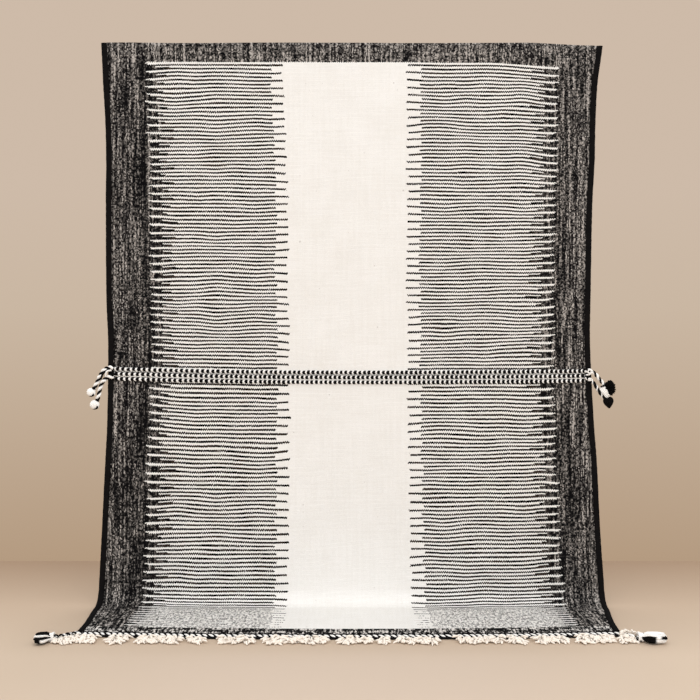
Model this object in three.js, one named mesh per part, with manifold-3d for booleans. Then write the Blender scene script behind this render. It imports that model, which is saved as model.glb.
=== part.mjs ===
// Moroccan flatweave rug. It hangs by its upper end, and its lower end lies forward on the floor.
// Millimetres, +Z up. The front faces -Y, and the origin is the middle of the upper edge.
import * as THREE from 'three';
import Module from 'manifold-3d';
import { mergeVertices } from 'three/addons/utils/BufferGeometryUtils.js';

const wasm = await Module();
wasm.setup();

// Driving sizes of the hang
const floorDrop = 2044;
const footForward = 70;
const bendRadius = 60;
const endForward = 450;
const cornersBack = 35;
const halfWidth = 905;
const footSlope = 0.08;
const foldsEndAbove = 290;
const upperEdgeDroop = 9;
const upperEdgeWave = 1.5;

// Driving sizes of the pieces
const seamGap = 0.3;
const clothThickness = 5;
const edgeCordWidth = 20;
const twiningWidth = 54;
const twiningRows = 3;
const twiningHeight = 5.6;
const twiningDownMiddle = 1215;
const twiningRise = { left: 15, right: 6 };
const endTwiningHeight = 8.6;
const ropeLobe = 0.16;
const ropePitch = 30;
const ropeRadius = { root: 5.5, free: 7 };
const ropeSides = 6;
const ropeStep = 6;

// Steps of the sheet
const columns = 22;
const rowsHanging = 23;
const rowsBend = 7;
const rowsFloor = 4;
const endTwiningColumns = 26;
const cornerColumns = 3;

// Outer edges of the rug. Down is measured along the cloth from the upper edge.
const outline = [
  { down: 0, left: -901, right: 915 },
  { down: 70, left: -897, right: 904 },
  { down: 150, left: -893, right: 893 },
  { down: 290, left: -886, right: 887 },
  { down: 570, left: -887, right: 877 },
  { down: 930, left: -886, right: 872 },
  { down: 1090, left: -880, right: 870 },
  { down: 1370, left: -885, right: 885 },
  { down: 1520, left: -892, right: 896 },
  { down: 1800, left: -905, right: 909 },
  { down: 1990, left: -914, right: 922 },
  { down: 2090, left: -920, right: 925 },
  { down: 2190, left: -915, right: 914 },
  { down: 2290, left: -911, right: 906 },
  { down: 2400, left: -914, right: 903 },
];

// Soft upright ridges and troughs of the hanging stretch. Depth is towards the front.
const foldFade = 350;
const folds = [
  { across: -800, width: 120, depth: 5, from: -200, to: 1900 },
  { across: -540, width: 130, depth: -6, from: 150, to: 1950 },
  { across: -270, width: 110, depth: 5, from: -200, to: 1300 },
  { across: -90, width: 100, depth: -4, from: 700, to: 1950 },
  { across: 150, width: 120, depth: 6, from: -100, to: 1900 },
  { across: 430, width: 140, depth: -6, from: -200, to: 1700 },
  { across: 660, width: 110, depth: 5, from: 500, to: 1950 },
  { across: 850, width: 90, depth: -4, from: -200, to: 1200 },
];

// Runs of fringe tufts along the lower end, with the bare gaps between them
const tuftRuns = [
  { from: -948, to: -816, tufts: 5 },
  { from: -768, to: -712, tufts: 2 },
  { from: -706, to: -548, tufts: 4 },
  { from: -529, to: -471, tufts: 2 },
  { from: -432, to: -310, tufts: 3 },
  { from: -284, to: -74, tufts: 6 },
  { from: -39, to: 71, tufts: 3 },
  { from: 84, to: 126, tufts: 1 },
  { from: 148, to: 294, tufts: 4 },
  { from: 345, to: 500, tufts: 4 },
  { from: 516, to: 574, tufts: 2 },
  { from: 600, to: 713, tufts: 3 },
  { from: 739, to: 864, tufts: 4 },
  { from: 872, to: 938, tufts: 2 },
];

// The locks of one tuft, spread from side to side. Shorter is how far a tip stays behind the longest.
const tuftTipForward = 586;
const tuftRootHeight = 4.6;
const tuftRootSpread = 0.26;
const tuftRootDepth = 6;
const tuftLocks = [
  { side: -1, height: 12, shorter: 6 },
  { side: -0.33, height: 17, shorter: 0 },
  { side: 0.33, height: 15, shorter: 10 },
  { side: 1, height: 13, shorter: 3 },
];

// Locks of the extra tuft that lies on top of the twining's cord at the right corner
const cornerLocks = [
  { across: 893, forward: 428, toAcross: 924, toForward: 436 },
  { across: 897, forward: 438, toAcross: 936, toForward: 452 },
  { across: 899, forward: 448, toAcross: 940, toForward: 470 },
  { across: 896, forward: 458, toAcross: 936, toForward: 488 },
];
const cornerLockRise = { root: 0.5, belly: 17, tip: 16 };

// Tassels of the middle twining. Across and up place the cord's points, lift is its distance
// from the middle of the cloth's thickness.
const headLift = 12;
const headLockWidth = 8;
const headLockFan = 1.35 * Math.PI;
const sideTassels = [
  {
    name: 'tassel_left_upper', color: 'white',
    cord: [
      { across: -865, up: -1181, lift: 12.8 },
      { across: -886, up: -1178, lift: 13 },
      { across: -905, up: -1191, lift: 13 },
      { across: -917, up: -1210, lift: 11 },
      { across: -925, up: -1232, lift: 10 },
      { across: -935, up: -1254, lift: 10 },
    ],
    head: { across: -943, up: -1269, wide: 17, tall: 16 },
    locks: 9, lockLength: 7,
  },
  {
    name: 'tassel_left_lower', color: 'white',
    cord: [
      { across: -865, up: -1208, lift: 12.8 },
      { across: -884, up: -1212, lift: 13 },
      { across: -901, up: -1232, lift: 12 },
      { across: -910, up: -1254, lift: 10 },
      { across: -914, up: -1275, lift: 10 },
      { across: -922, up: -1297, lift: 10 },
    ],
    head: { across: -930, up: -1314, wide: 18, tall: 17 },
    locks: 9, lockLength: 7,
  },
  {
    name: 'tassel_right_upper', color: 'black',
    cord: [
      { across: 856, up: -1187, lift: 12.4 },
      { across: 876, up: -1185, lift: 12.2 },
      { across: 897, up: -1195, lift: 13 },
      { across: 913, up: -1216, lift: 11 },
      { across: 928, up: -1236, lift: 10 },
    ],
    head: { across: 948, up: -1254, wide: 20, tall: 24 },
    locks: 12, lockLength: 5,
  },
  {
    name: 'tassel_right_lower', color: 'black',
    cord: [
      { across: 856, up: -1215, lift: 12.4 },
      { across: 874, up: -1222, lift: 12 },
      { across: 890, up: -1238, lift: 12 },
      { across: 903, up: -1258, lift: 10 },
      { across: 914, up: -1274, lift: 10 },
      { across: 928, up: -1291, lift: 10 },
    ],
    head: { across: 943, up: -1308, wide: 16, tall: 17 },
    locks: 9, lockLength: 6,
  },
];

// Beyond the rug's corners the end twining goes on as a cord, outward and forward
const cornerAcross = { left: 912, right: 902 };
const stripEnds = { left: 972, right: 946 };
const stripEndForward = { left: 519, right: 520 };
const stripEndScale = { width: 0.55, height: 2 };

// Tassels that lie on the floor at the ends of that cord
const endTassels = [
  {
    name: 'tassel_end_left', side: -1, neck: stripEnds.left + seamGap, tip: 1022,
    forward: 534, wide: 19, locks: 9,
  },
  {
    name: 'tassel_end_right', side: 1, neck: stripEnds.right + seamGap, tip: 1028,
    forward: 540, wide: 17, locks: 9,
  },
];

const black = new THREE.MeshStandardMaterial({ color: 0x17161a, roughness: 0.95, metalness: 0 });
const cream = new THREE.MeshStandardMaterial({ color: 0xe9dfd3, roughness: 0.95, metalness: 0 });
const grey = new THREE.MeshStandardMaterial({ color: 0x6c6868, roughness: 0.95, metalness: 0 });
const materials = { black, white: cream };

const group = new THREE.Group();

function addPiece(name, geometry, material) {
  const mesh = new THREE.Mesh(geometry, material);
  mesh.name = name;
  group.add(mesh);
}

function steps(from, to, count) {
  return Array.from({ length: count + 1 }, (_, i) => from + ((to - from) * i) / count);
}

// A repeatable uneven number between -1 and 1
function uneven(seed) {
  const wave = Math.sin(seed * 12.9898 + 4.1414) * 43758.5453;
  return 2 * (wave - Math.floor(wave)) - 1;
}

// One outer edge's place across, by a smooth curve through the outline's rows
function outerEdge(column, down) {
  const last = outline.length - 1;
  const after = outline.findIndex((row) => row.down > down);
  const i = THREE.MathUtils.clamp(after < 0 ? last - 1 : after - 1, 0, last - 1);
  const slope = (k) => {
    const low = outline[Math.max(k - 1, 0)];
    const high = outline[Math.min(k + 1, last)];
    return (high[column] - low[column]) / (high.down - low.down);
  };
  const span = outline[i + 1].down - outline[i].down;
  const t = THREE.MathUtils.clamp((down - outline[i].down) / span, 0, 1);
  const rising = t * t * (3 - 2 * t);
  const leaving = t * (1 - t) * (1 - t) * span * slope(i);
  const arriving = t * t * (t - 1) * span * slope(i + 1);
  return outline[i][column] * (1 - rising) + outline[i + 1][column] * rising + leaving + arriving;
}

// Side view of the cloth: a leaning drop, a bend, and a straight stretch on the floor
const restHeight = -floorDrop + clothThickness / 2;
const bendTop = new THREE.Vector3(0, -footForward, -floorDrop + bendRadius);
const bendEnd = new THREE.Vector3(0, -footForward - bendRadius, restHeight);
const quarterTurnHandle = 0.5523 * bendRadius;
const footDirection = new THREE.Vector3(0, -footSlope, -1).normalize();
const drop = new THREE.CubicBezierCurve3(
  new THREE.Vector3(0, 0, 0),
  new THREE.Vector3(0, 0, bendTop.z / 3),
  bendTop.clone().addScaledVector(footDirection, bendTop.z / 3),
  bendTop,
);
const bend = new THREE.CubicBezierCurve3(
  bendTop,
  bendTop.clone().addScaledVector(footDirection, quarterTurnHandle),
  bendEnd.clone().add(new THREE.Vector3(0, quarterTurnHandle, 0)),
  bendEnd,
);
const lying = new THREE.LineCurve3(bendEnd, new THREE.Vector3(0, -endForward, restHeight));
const profile = new THREE.CurvePath();
profile.add(drop);
profile.add(bend);
profile.add(lying);
const clothLength = profile.getLength();
const dropLength = drop.getLength();
const dropShare = dropLength / clothLength;
const bendShare = (dropLength + bend.getLength()) / clothLength;
const rows = [
  ...steps(0, dropShare, rowsHanging),
  ...steps(dropShare, bendShare, rowsBend).slice(1),
  ...steps(bendShare, 1, rowsFloor).slice(1),
];

// How far the folds carry the cloth forward. They fade out above the bend.
function foldRise(across, down) {
  const foot = 1 - THREE.MathUtils.smoothstep(down, dropLength - foldsEndAbove, dropLength);
  let rise = 0;
  for (const fold of folds) {
    const spread = (across - fold.across) / fold.width;
    const begins = THREE.MathUtils.smoothstep(down, fold.from, fold.from + foldFade);
    const ends = 1 - THREE.MathUtils.smoothstep(down, fold.to - foldFade, fold.to);
    rise += fold.depth * Math.exp(-spread * spread) * begins * ends;
  }
  return rise * foot;
}

// A point of the cloth, or one held off from the middle of its thickness by lift
function clothPoint(across, down, lift) {
  const share = THREE.MathUtils.clamp(down / clothLength, 0, 1);
  const middle = profile.getPoint(share);
  const along = profile.getTangent(share);
  const offset = foldRise(across, down) + lift;
  return new THREE.Vector3(across, middle.y + along.z * offset, middle.z - along.y * offset);
}

// The upper edge droops a little at the right corner, and the lower end bows forward
function upperEdge(across) {
  const droop = upperEdgeDroop * THREE.MathUtils.smoothstep(across, 0.62 * halfWidth, halfWidth);
  return Math.max(droop + upperEdgeWave * Math.sin((7 * across) / halfWidth), 0);
}

function lowerEdge(across) {
  return clothLength - cornersBack * Math.min(Math.abs(across) / halfWidth, 1) ** 2.2;
}

function downAt(acrossShare, row) {
  const across = THREE.MathUtils.lerp(-halfWidth, halfWidth, acrossShare);
  return THREE.MathUtils.lerp(upperEdge(across), lowerEdge(across), row);
}

// A place between the two edge cords, at a share of the width between them
function betweenCords(share, down, inset) {
  const left = outerEdge('left', down) + edgeCordWidth + inset;
  const right = outerEdge('right', down) - edgeCordWidth - inset;
  return THREE.MathUtils.lerp(left, right, share);
}

// Turns every face outward by the sign of the enclosed volume
function solidGeometry(points, index) {
  const side = new THREE.Vector3();
  let volume = 0;
  for (let i = 0; i < index.length; i += 3) {
    const [a, b, c] = [points[index[i]], points[index[i + 1]], points[index[i + 2]]];
    volume += side.crossVectors(b, c).dot(a);
  }
  const faces = volume < 0 ? index.slice().reverse() : index;
  const geometry = new THREE.BufferGeometry().setFromPoints(points);
  geometry.setIndex(faces);
  geometry.computeVertexNormals();
  return geometry;
}

// A closed solid through equal rings of points, with a cap on each end.
// The shape is the ring's flat outline, which gives the caps their triangles.
function loft(rings, shape) {
  const count = shape.length;
  const index = [];
  for (let i = 0; i < rings.length - 1; i += 1) {
    for (let k = 0; k < count; k += 1) {
      const a = i * count + k;
      const b = i * count + ((k + 1) % count);
      index.push(a, b, b + count, a, b + count, a + count);
    }
  }
  const counterClockwise = THREE.ShapeUtils.area(shape) > 0;
  const lastRing = (rings.length - 1) * count;
  for (const [a, b, c] of THREE.ShapeUtils.triangulateShape(shape, [])) {
    const ordered = counterClockwise ? [a, c, b] : [a, b, c];
    index.push(...ordered);
    index.push(...ordered.map((k) => k + lastRing).reverse());
  }
  return solidGeometry(rings.flat(), index);
}

function toManifold(geometry) {
  const bare = new THREE.BufferGeometry();
  bare.setAttribute('position', geometry.getAttribute('position'));
  bare.setIndex(geometry.index);
  const merged = mergeVertices(bare, 1e-3);
  const vertProperties = new Float32Array(merged.getAttribute('position').array);
  const triVerts = new Uint32Array(merged.index.array);
  return new wasm.Manifold(new wasm.Mesh({ numProp: 3, vertProperties, triVerts }));
}

function joined(geometries) {
  const mesh = wasm.Manifold.union(geometries.map(toManifold)).getMesh();
  const geometry = new THREE.BufferGeometry();
  geometry.setAttribute('position', new THREE.BufferAttribute(mesh.vertProperties, 3));
  geometry.setIndex(new THREE.BufferAttribute(mesh.triVerts, 1));
  geometry.computeVertexNormals();
  return geometry;
}

// The woven sheet, one solid from edge cord to edge cord
function clothSheet() {
  const faceCount = columns + 1;
  const rings = rows.map((row) => {
    const face = (lift) => steps(0, 1, columns).map((share) => {
      const down = downAt(share, row);
      return clothPoint(betweenCords(share, down, seamGap), down, lift);
    });
    return [...face(clothThickness / 2), ...face(-clothThickness / 2).reverse()];
  });
  const shape = [];
  for (let k = 0; k < faceCount; k += 1) shape.push(new THREE.Vector2(k, 1));
  for (let k = faceCount - 1; k >= 0; k -= 1) shape.push(new THREE.Vector2(k, 0));
  return loft(rings, shape);
}

// Section of an edge cord: across from its outer side, up from the middle of the cloth
const cordSection = [
  { across: 0, lift: 2 },
  { across: 2, lift: -1.2 },
  { across: 5, lift: -2.5 },
  { across: 16, lift: -2.5 },
  { across: 20, lift: -1.5 },
  { across: 20, lift: 4 },
  { across: 16, lift: 6.4 },
  { across: 10, lift: 7.2 },
  { across: 4, lift: 6 },
];

function edgeCord(side) {
  const share = side < 0 ? 0 : 1;
  const column = side < 0 ? 'left' : 'right';
  const rings = rows.map((row) => {
    const down = downAt(share, row);
    const outer = outerEdge(column, down);
    return cordSection.map((spot) => clothPoint(outer - side * spot.across, down, spot.lift));
  });
  return loft(rings, cordSection.map((spot) => new THREE.Vector2(spot.across, spot.lift)));
}

// Section of twined rows: each row is a rounded rib, and the outer sides stand upright
const ribShape = [
  { along: 0, rise: 0.35 },
  { along: 0.25, rise: 0.85 },
  { along: 0.5, rise: 1 },
  { along: 0.75, rise: 0.85 },
];
const outerSideRise = 0.6;

function twiningSection(base, height) {
  const rowWidth = twiningWidth / twiningRows;
  const ribs = [];
  for (let row = 0; row < twiningRows; row += 1) {
    for (const spot of ribShape) {
      ribs.push({ along: (row + spot.along) * rowWidth, lift: base + spot.rise * height });
    }
  }
  const side = base + outerSideRise * height;
  return [
    { along: 0, lift: base },
    { along: 0, lift: side },
    ...ribs.slice(1),
    { along: twiningWidth, lift: side },
    { along: twiningWidth, lift: base },
  ];
}

// Middle of the twined rows: it sags a little between the sides
function twiningDown(across) {
  const rise = across < 0 ? twiningRise.left : twiningRise.right;
  return twiningDownMiddle - rise * (across / halfWidth) ** 2;
}

function middleTwining(face) {
  const section = twiningSection(clothThickness / 2 + seamGap, twiningHeight);
  const rings = steps(0, 1, columns).map((share) => section.map((spot) => {
    const guess = THREE.MathUtils.lerp(-halfWidth, halfWidth, share);
    const down = twiningDown(guess) - twiningWidth / 2 + spot.along;
    return clothPoint(betweenCords(share, down, 4 * seamGap), down, face * spot.lift);
  }));
  return loft(rings, section.map((spot) => new THREE.Vector2(spot.along, spot.lift)));
}

// The end twining's back edge follows the cloth's end, then turns outward and forward
function stripPlace(across) {
  const side = across < 0 ? 'left' : 'right';
  const beyond = THREE.MathUtils.clamp(
    (Math.abs(across) - cornerAcross[side]) / (stripEnds[side] - cornerAcross[side]), 0, 1);
  const inner = endForward - (clothLength - lowerEdge(across)) + seamGap;
  return {
    back: THREE.MathUtils.lerp(inner, stripEndForward[side], beyond ** 1.3),
    width: THREE.MathUtils.lerp(1, stripEndScale.width, beyond),
    height: THREE.MathUtils.lerp(1, stripEndScale.height, beyond),
  };
}

function stripBody() {
  const section = twiningSection(0, endTwiningHeight);
  const stations = [
    ...steps(-stripEnds.left, -cornerAcross.left, cornerColumns),
    ...steps(-cornerAcross.left, cornerAcross.right, endTwiningColumns).slice(1),
    ...steps(cornerAcross.right, stripEnds.right, cornerColumns).slice(1),
  ];
  const rings = stations.map((across) => {
    const place = stripPlace(across);
    return section.map((spot) => new THREE.Vector3(
      across, -place.back - spot.along * place.width, -floorDrop + spot.lift * place.height));
  });
  return loft(rings, section.map((spot) => new THREE.Vector2(spot.along, spot.lift)));
}

// A tapered lock with a flat underside, from its root through its belly to its tip
function lock(rings) {
  const shape = [new THREE.Vector2(-1, 0), new THREE.Vector2(1, 0), new THREE.Vector2(0, 1)];
  const points = rings.map(({ at, away, width, height }) => {
    const sideways = new THREE.Vector3(-away.y, away.x, 0).normalize();
    return [
      at.clone().addScaledVector(sideways, width / 2),
      at.clone().addScaledVector(sideways, -width / 2),
      at.clone().add(new THREE.Vector3(0, 0, height)),
    ];
  });
  return loft(points, shape);
}

// The locks of a tuft lie side by side, narrow at the root and widest at the belly
function tuftLock(centre, pitch, spot, seed) {
  const place = stripPlace(centre + spot.side * tuftRootSpread * pitch);
  const rootForward = place.back + twiningWidth * place.width - tuftRootDepth;
  const tipForward = tuftTipForward - spot.shorter + 5 * uneven(seed);
  const away = new THREE.Vector3(0, -1, 0);
  const spotAt = (spread, forward) => new THREE.Vector3(
    centre + spot.side * spread * pitch,
    -THREE.MathUtils.lerp(rootForward, tipForward, forward),
    -floorDrop);
  return lock([
    { at: spotAt(tuftRootSpread, 0), away, width: 0.14 * pitch, height: tuftRootHeight },
    { at: spotAt(0.37, 0.55), away, width: 0.22 * pitch, height: spot.height },
    { at: spotAt(0.37 + 0.02 * uneven(seed + 0.5), 1), away, width: 0.15 * pitch, height: 5 },
  ]);
}

function cornerLock(spot) {
  const spotAt = (share, up) => new THREE.Vector3(
    THREE.MathUtils.lerp(spot.across, spot.toAcross, share),
    -THREE.MathUtils.lerp(spot.forward, spot.toForward, share),
    -floorDrop + up);
  const away = spotAt(1, 0).sub(spotAt(0, 0));
  return lock([
    { at: spotAt(0, cornerLockRise.root), away, width: 8, height: 4 },
    { at: spotAt(0.45, cornerLockRise.belly), away, width: 9, height: 9 },
    { at: spotAt(1, cornerLockRise.tip), away, width: 6, height: 5 },
  ]);
}

function endTwining() {
  const pieces = [stripBody(), ...cornerLocks.map(cornerLock)];
  tuftRuns.forEach((run, runNumber) => {
    const pitch = (run.to - run.from) / run.tufts;
    for (let i = 0; i < run.tufts; i += 1) {
      const centre = run.from + (i + 0.5) * pitch;
      tuftLocks.forEach((spot, k) => {
        pieces.push(tuftLock(centre, pitch, spot, runNumber * 31 + i * 7 + k));
      });
    }
  });
  return joined(pieces);
}

// Two twisted plies: a section with two lobes that turns along its path
function twistedRope(points) {
  const curve = new THREE.CatmullRomCurve3(points);
  const length = curve.getLength();
  const count = Math.round(length / ropeStep);
  const frames = curve.computeFrenetFrames(count, false);
  const section = (turn, radius) => steps(0, 1, ropeSides).slice(0, -1).map((share) => {
    const angle = share * 2 * Math.PI;
    const reach = radius * (1 - ropeLobe + ropeLobe * Math.cos(2 * (angle - turn)));
    return new THREE.Vector2(reach * Math.cos(angle), reach * Math.sin(angle));
  });
  const rings = steps(0, 1, count).map((share, i) => {
    const middle = curve.getPointAt(share);
    const turn = (share * length * Math.PI) / ropePitch;
    const radius = THREE.MathUtils.lerp(ropeRadius.root, ropeRadius.free, Math.min(share * 3, 1));
    return section(turn, radius).map((spot) => middle.clone()
      .addScaledVector(frames.normals[i], spot.x)
      .addScaledVector(frames.binormals[i], spot.y));
  });
  return loft(rings, section(0, ropeRadius.root));
}

function hangingPoint(spot) {
  return clothPoint(spot.across, -spot.up, spot.lift);
}

function ball(centre, wide, tall, deep) {
  const geometry = new THREE.SphereGeometry(1, 9, 7);
  geometry.rotateX(Math.PI / 2);
  geometry.scale(wide, deep, tall);
  geometry.translate(centre.x, centre.y, centre.z);
  return geometry;
}

// A pompom's lock stands out from its centre and tapers to a blunt tip
function pompomLock(centre, direction, inner, outer, width) {
  const sideways = new THREE.Vector3(0, 1, 0).cross(direction).normalize();
  const front = new THREE.Vector3().crossVectors(direction, sideways);
  const shape = [0, 1, 2].map((k) => {
    const angle = (k * 2 * Math.PI) / 3;
    return new THREE.Vector2(Math.cos(angle), Math.sin(angle));
  });
  const ring = (reach, wide) => shape.map((spot) => centre.clone()
    .addScaledVector(direction, reach)
    .addScaledVector(sideways, (spot.x * wide) / 2)
    .addScaledVector(front, (spot.y * wide) / 2));
  return loft([ring(inner, width), ring(outer, width * 0.45)], shape);
}

// A twisted cord, a round head, and locks around the head's far side
function sideTassel(tassel) {
  const { head } = tassel;
  const centre = hangingPoint({ across: head.across, up: head.up, lift: headLift });
  const route = [...tassel.cord.map(hangingPoint), centre];
  const pieces = [
    twistedRope(route),
    ball(centre, head.wide, head.tall, head.wide * 0.8),
  ];
  const last = hangingPoint(tassel.cord[tassel.cord.length - 1]);
  const hangs = new THREE.Vector3().subVectors(centre, last);
  const hangAngle = Math.atan2(hangs.z, hangs.x);
  for (let k = 0; k < tassel.locks; k += 1) {
    const angle = hangAngle + ((k + 0.5) / tassel.locks - 0.5) * headLockFan;
    const tip = uneven(k + head.up);
    const direction = new THREE.Vector3(Math.cos(angle), 0.35 * tip, Math.sin(angle)).normalize();
    const reach = 1 / Math.hypot(Math.cos(angle) / head.wide, Math.sin(angle) / head.tall);
    const outer = reach + tassel.lockLength + 1.5 * tip;
    pieces.push(pompomLock(centre, direction, reach * 0.55, outer, headLockWidth));
  }
  return joined(pieces);
}

// Rings of a floor tassel's neck, as shares of the way to its head and of its half width
const neckShape = [
  { along: 0, radius: 0.62 },
  { along: 0.35, radius: 0.5 },
  { along: 1, radius: 0.75 },
];
const neckSides = 8;
const endLockFan = 1.1;

// A tassel that lies on the floor: a bound neck, a round head and two layers of locks
function endTassel(tassel) {
  const { side, neck, tip, forward, wide } = tassel;
  const headReach = (tip - neck) * 0.42;
  const circle = steps(0, 2 * Math.PI, neckSides).slice(0, -1)
    .map((angle) => new THREE.Vector2(Math.cos(angle), Math.sin(angle)));
  const neckRings = neckShape.map(({ along, radius }) => circle.map((spot) => new THREE.Vector3(
    side * (neck + along * headReach),
    -forward + wide * radius * spot.x,
    -floorDrop + wide * (1 + radius * spot.y))));
  const centre = new THREE.Vector3(side * (neck + headReach), -forward, -floorDrop + wide);
  const pieces = [
    loft(neckRings, circle),
    ball(centre, headReach * 0.95, wide, wide * 1.1),
  ];
  for (let k = 0; k < tassel.locks; k += 1) {
    const angle = ((k + 0.5) / tassel.locks - 0.5) * 2 * endLockFan;
    const layer = (k % 2) * wide * 0.75;
    const away = new THREE.Vector3(side * Math.cos(angle), -Math.sin(angle), 0);
    const root = centre.clone().addScaledVector(away, headReach * 0.3).setZ(-floorDrop + 2 + layer);
    const end = new THREE.Vector3(
      side * THREE.MathUtils.lerp(neck, tip, Math.cos(angle)),
      -forward - Math.sin(angle) * wide * 1.25,
      -floorDrop + layer);
    pieces.push(lock([
      { at: root, away, width: 10, height: 14 },
      { at: end, away, width: 5, height: 7 },
    ]));
  }
  return joined(pieces);
}

addPiece('rug_cloth', clothSheet(), grey);
addPiece('edge_cord_left', edgeCord(-1), black);
addPiece('edge_cord_right', edgeCord(1), black);
addPiece('middle_twining_front', middleTwining(1), cream);
addPiece('middle_twining_back', middleTwining(-1), cream);
addPiece('end_twining', endTwining(), cream);
for (const tassel of sideTassels) addPiece(tassel.name, sideTassel(tassel), materials[tassel.color]);
for (const tassel of endTassels) addPiece(tassel.name, endTassel(tassel), black);

export default group;
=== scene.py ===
"""Looks of a hand-woven flatweave rug. It hangs face on by its upper end, and its lower end
lies forward on the floor. Metres, +Z up, the front faces -Y."""

import math
from types import SimpleNamespace

import bpy
import numpy as np
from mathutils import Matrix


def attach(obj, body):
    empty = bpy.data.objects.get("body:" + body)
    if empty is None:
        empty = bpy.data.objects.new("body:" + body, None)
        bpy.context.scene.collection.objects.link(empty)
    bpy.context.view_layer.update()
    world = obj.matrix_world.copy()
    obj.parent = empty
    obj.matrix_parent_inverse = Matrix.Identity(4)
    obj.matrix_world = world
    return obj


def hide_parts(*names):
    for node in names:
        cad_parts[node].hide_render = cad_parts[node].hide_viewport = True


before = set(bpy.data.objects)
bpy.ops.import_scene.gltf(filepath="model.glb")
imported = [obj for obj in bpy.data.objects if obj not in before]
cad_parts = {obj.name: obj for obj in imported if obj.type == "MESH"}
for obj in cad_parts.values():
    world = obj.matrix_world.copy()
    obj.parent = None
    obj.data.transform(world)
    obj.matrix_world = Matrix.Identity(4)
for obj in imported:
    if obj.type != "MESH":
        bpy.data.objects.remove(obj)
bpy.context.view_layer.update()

MM = 0.001

# The photograph's view, with the tilt downwards in degrees
SENSOR_WIDTH = 36
LENS = 61.71
CAMERA_DISTANCE = 4.40
CAMERA_HEIGHT = -0.932
CAMERA_TILT = 2.386

# Sizes of the hang, as in the part's source
FLOOR_DROP = 2.044
FOOT_FORWARD = 0.070
BEND_RADIUS = 0.060
END_FORWARD = 0.460
CORNERS_BACK = 0.035
HALF_WIDTH = 0.905
FOOT_SLOPE = 0.08
FOLDS_END_ABOVE = 0.290
FOLD_FADE = 0.350
CLOTH_THICKNESS = 0.005
EDGE_CORD_WIDTH = 0.020
SEAM_GAP = 0.0003
UPPER_DROOP = 0.009
UPPER_WAVE = 0.0015
TWINING_WIDTH = 0.054
TWINING_ROWS = 3
TWINING_DOWN = 1.215
TWINING_RISE = {"left": 0.015, "right": 0.006}

# Outer edges of the rug in millimetres. Down is measured along the cloth from the upper edge.
OUTLINE = {
    "down": [0, 70, 150, 290, 430, 570, 930, 1090, 1370, 1520, 1800, 1990, 2090, 2190, 2290, 2400],
    "left": [-903, -900, -897, -890, -888, -890, -889, -883, -886, -893, -906, -915, -920, -915, -911, -914],
    "right": [919, 910, 900, 894, 892, 885, 879, 877, 890, 901, 914, 926, 928, 916, 907, 903],
}

# Soft upright ridges and troughs of the hanging stretch, in millimetres.
# Each has its place across, width, depth towards the front, and start and end down the cloth.
FOLDS = [
    (-800, 120, 5, -200, 1900),
    (-540, 130, -6, 150, 1950),
    (-270, 110, 5, -200, 1300),
    (-90, 100, -4, 700, 1950),
    (150, 120, 6, -100, 1900),
    (430, 140, -6, -200, 1700),
    (660, 110, 5, 500, 1950),
    (850, 90, -4, -200, 1200),
]

# Tips of the long stripes, in millimetres across, at places down the cloth
TIPS = {
    "down": [75, 570, 850, 1150, 1290, 1400, 1840, 2000, 2283],
    "left_outer": [-746, -728, -728, -727, -732, -738, -748, -756, -770],
    "left_inner": [-246, -226, -227, -224, -222, -222, -225, -228, -229],
    "right_inner": [208, 209, 207, 209, 212, 215, 220, 224, 229],
    "right_outer": [757, 754, 746, 744, 745, 750, 768, 782, 784],
}
# The same tips in the pattern's own straight coordinate, with the cloth's two edges outermost
PATTERN_ACROSS = [-0.880, -0.740, -0.230, 0.208, 0.752, 0.875]

# Stripes of each panel: the first dark line above and below the middle twining, and the pitch there
STRIPES = {
    "left": {"upper_first": 0.079, "upper_pitch": 0.01398, "lower_first": 1.244, "lower_pitch": 0.01504},
    "right": {"upper_first": 0.080, "upper_pitch": 0.01346, "lower_first": 1.237, "lower_pitch": 0.01434},
}
# Even, so that the long and short teeth carry on below the twining
STRIPES_ABOVE_TWINING = 84
STRIPE_HEIGHT = 0.014
# A stripe is two dark and four white picks of weft. Dark ones are thicker.
PICKS_PER_STRIPE = 6
DARK_THICKER = (0.059, 0.106)
WARP_COLUMN = 0.0039
# The small shift keeps one of a white stripe's two beads where it is thin
WHITE_MIDDLE = 0.12
# How far a bead of weft narrows towards its ends: 1 would be a lozenge, and more is squarer
BEAD_SQUARENESS = 1.35
END_BAND_DOWN = 2.346
TOOTH_STEP = {"left": 0.044, "right": 0.048}

rng = np.random.default_rng(11)


def jitter(amount):
    return amount * rng.uniform(-1, 1)


def unit(vectors):
    """The same directions at a length of 1."""
    return vectors / (np.linalg.norm(vectors, axis=-1, keepdims=True) + 1e-12)


def circle(angle, a, b):
    return np.cos(angle) * a + np.sin(angle) * b


def distance_along(path):
    return np.concatenate([[0], np.cumsum(np.linalg.norm(np.diff(path, axis=0), axis=1))])


def by_side(across, sizes):
    return np.where(across < 0, sizes["left"], sizes["right"])


def smoothstep(x, low, high):
    t = np.clip((x - low) / (high - low), 0, 1)
    return t * t * (3 - 2 * t)


def soft_noise(u, v, seed):
    """Smooth noise between -1 and 1 with one feature a unit."""
    table = np.random.default_rng(seed).uniform(-1, 1, (64, 64))
    i, j = np.floor(u).astype(int), np.floor(v).astype(int)
    a, b = u - i, v - j
    a, b = a * a * (3 - 2 * a), b * b * (3 - 2 * b)
    low = table[i % 64, j % 64] * (1 - a) + table[(i + 1) % 64, j % 64] * a
    high = table[i % 64, (j + 1) % 64] * (1 - a) + table[(i + 1) % 64, (j + 1) % 64] * a
    return low * (1 - b) + high * b


# Camera

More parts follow.
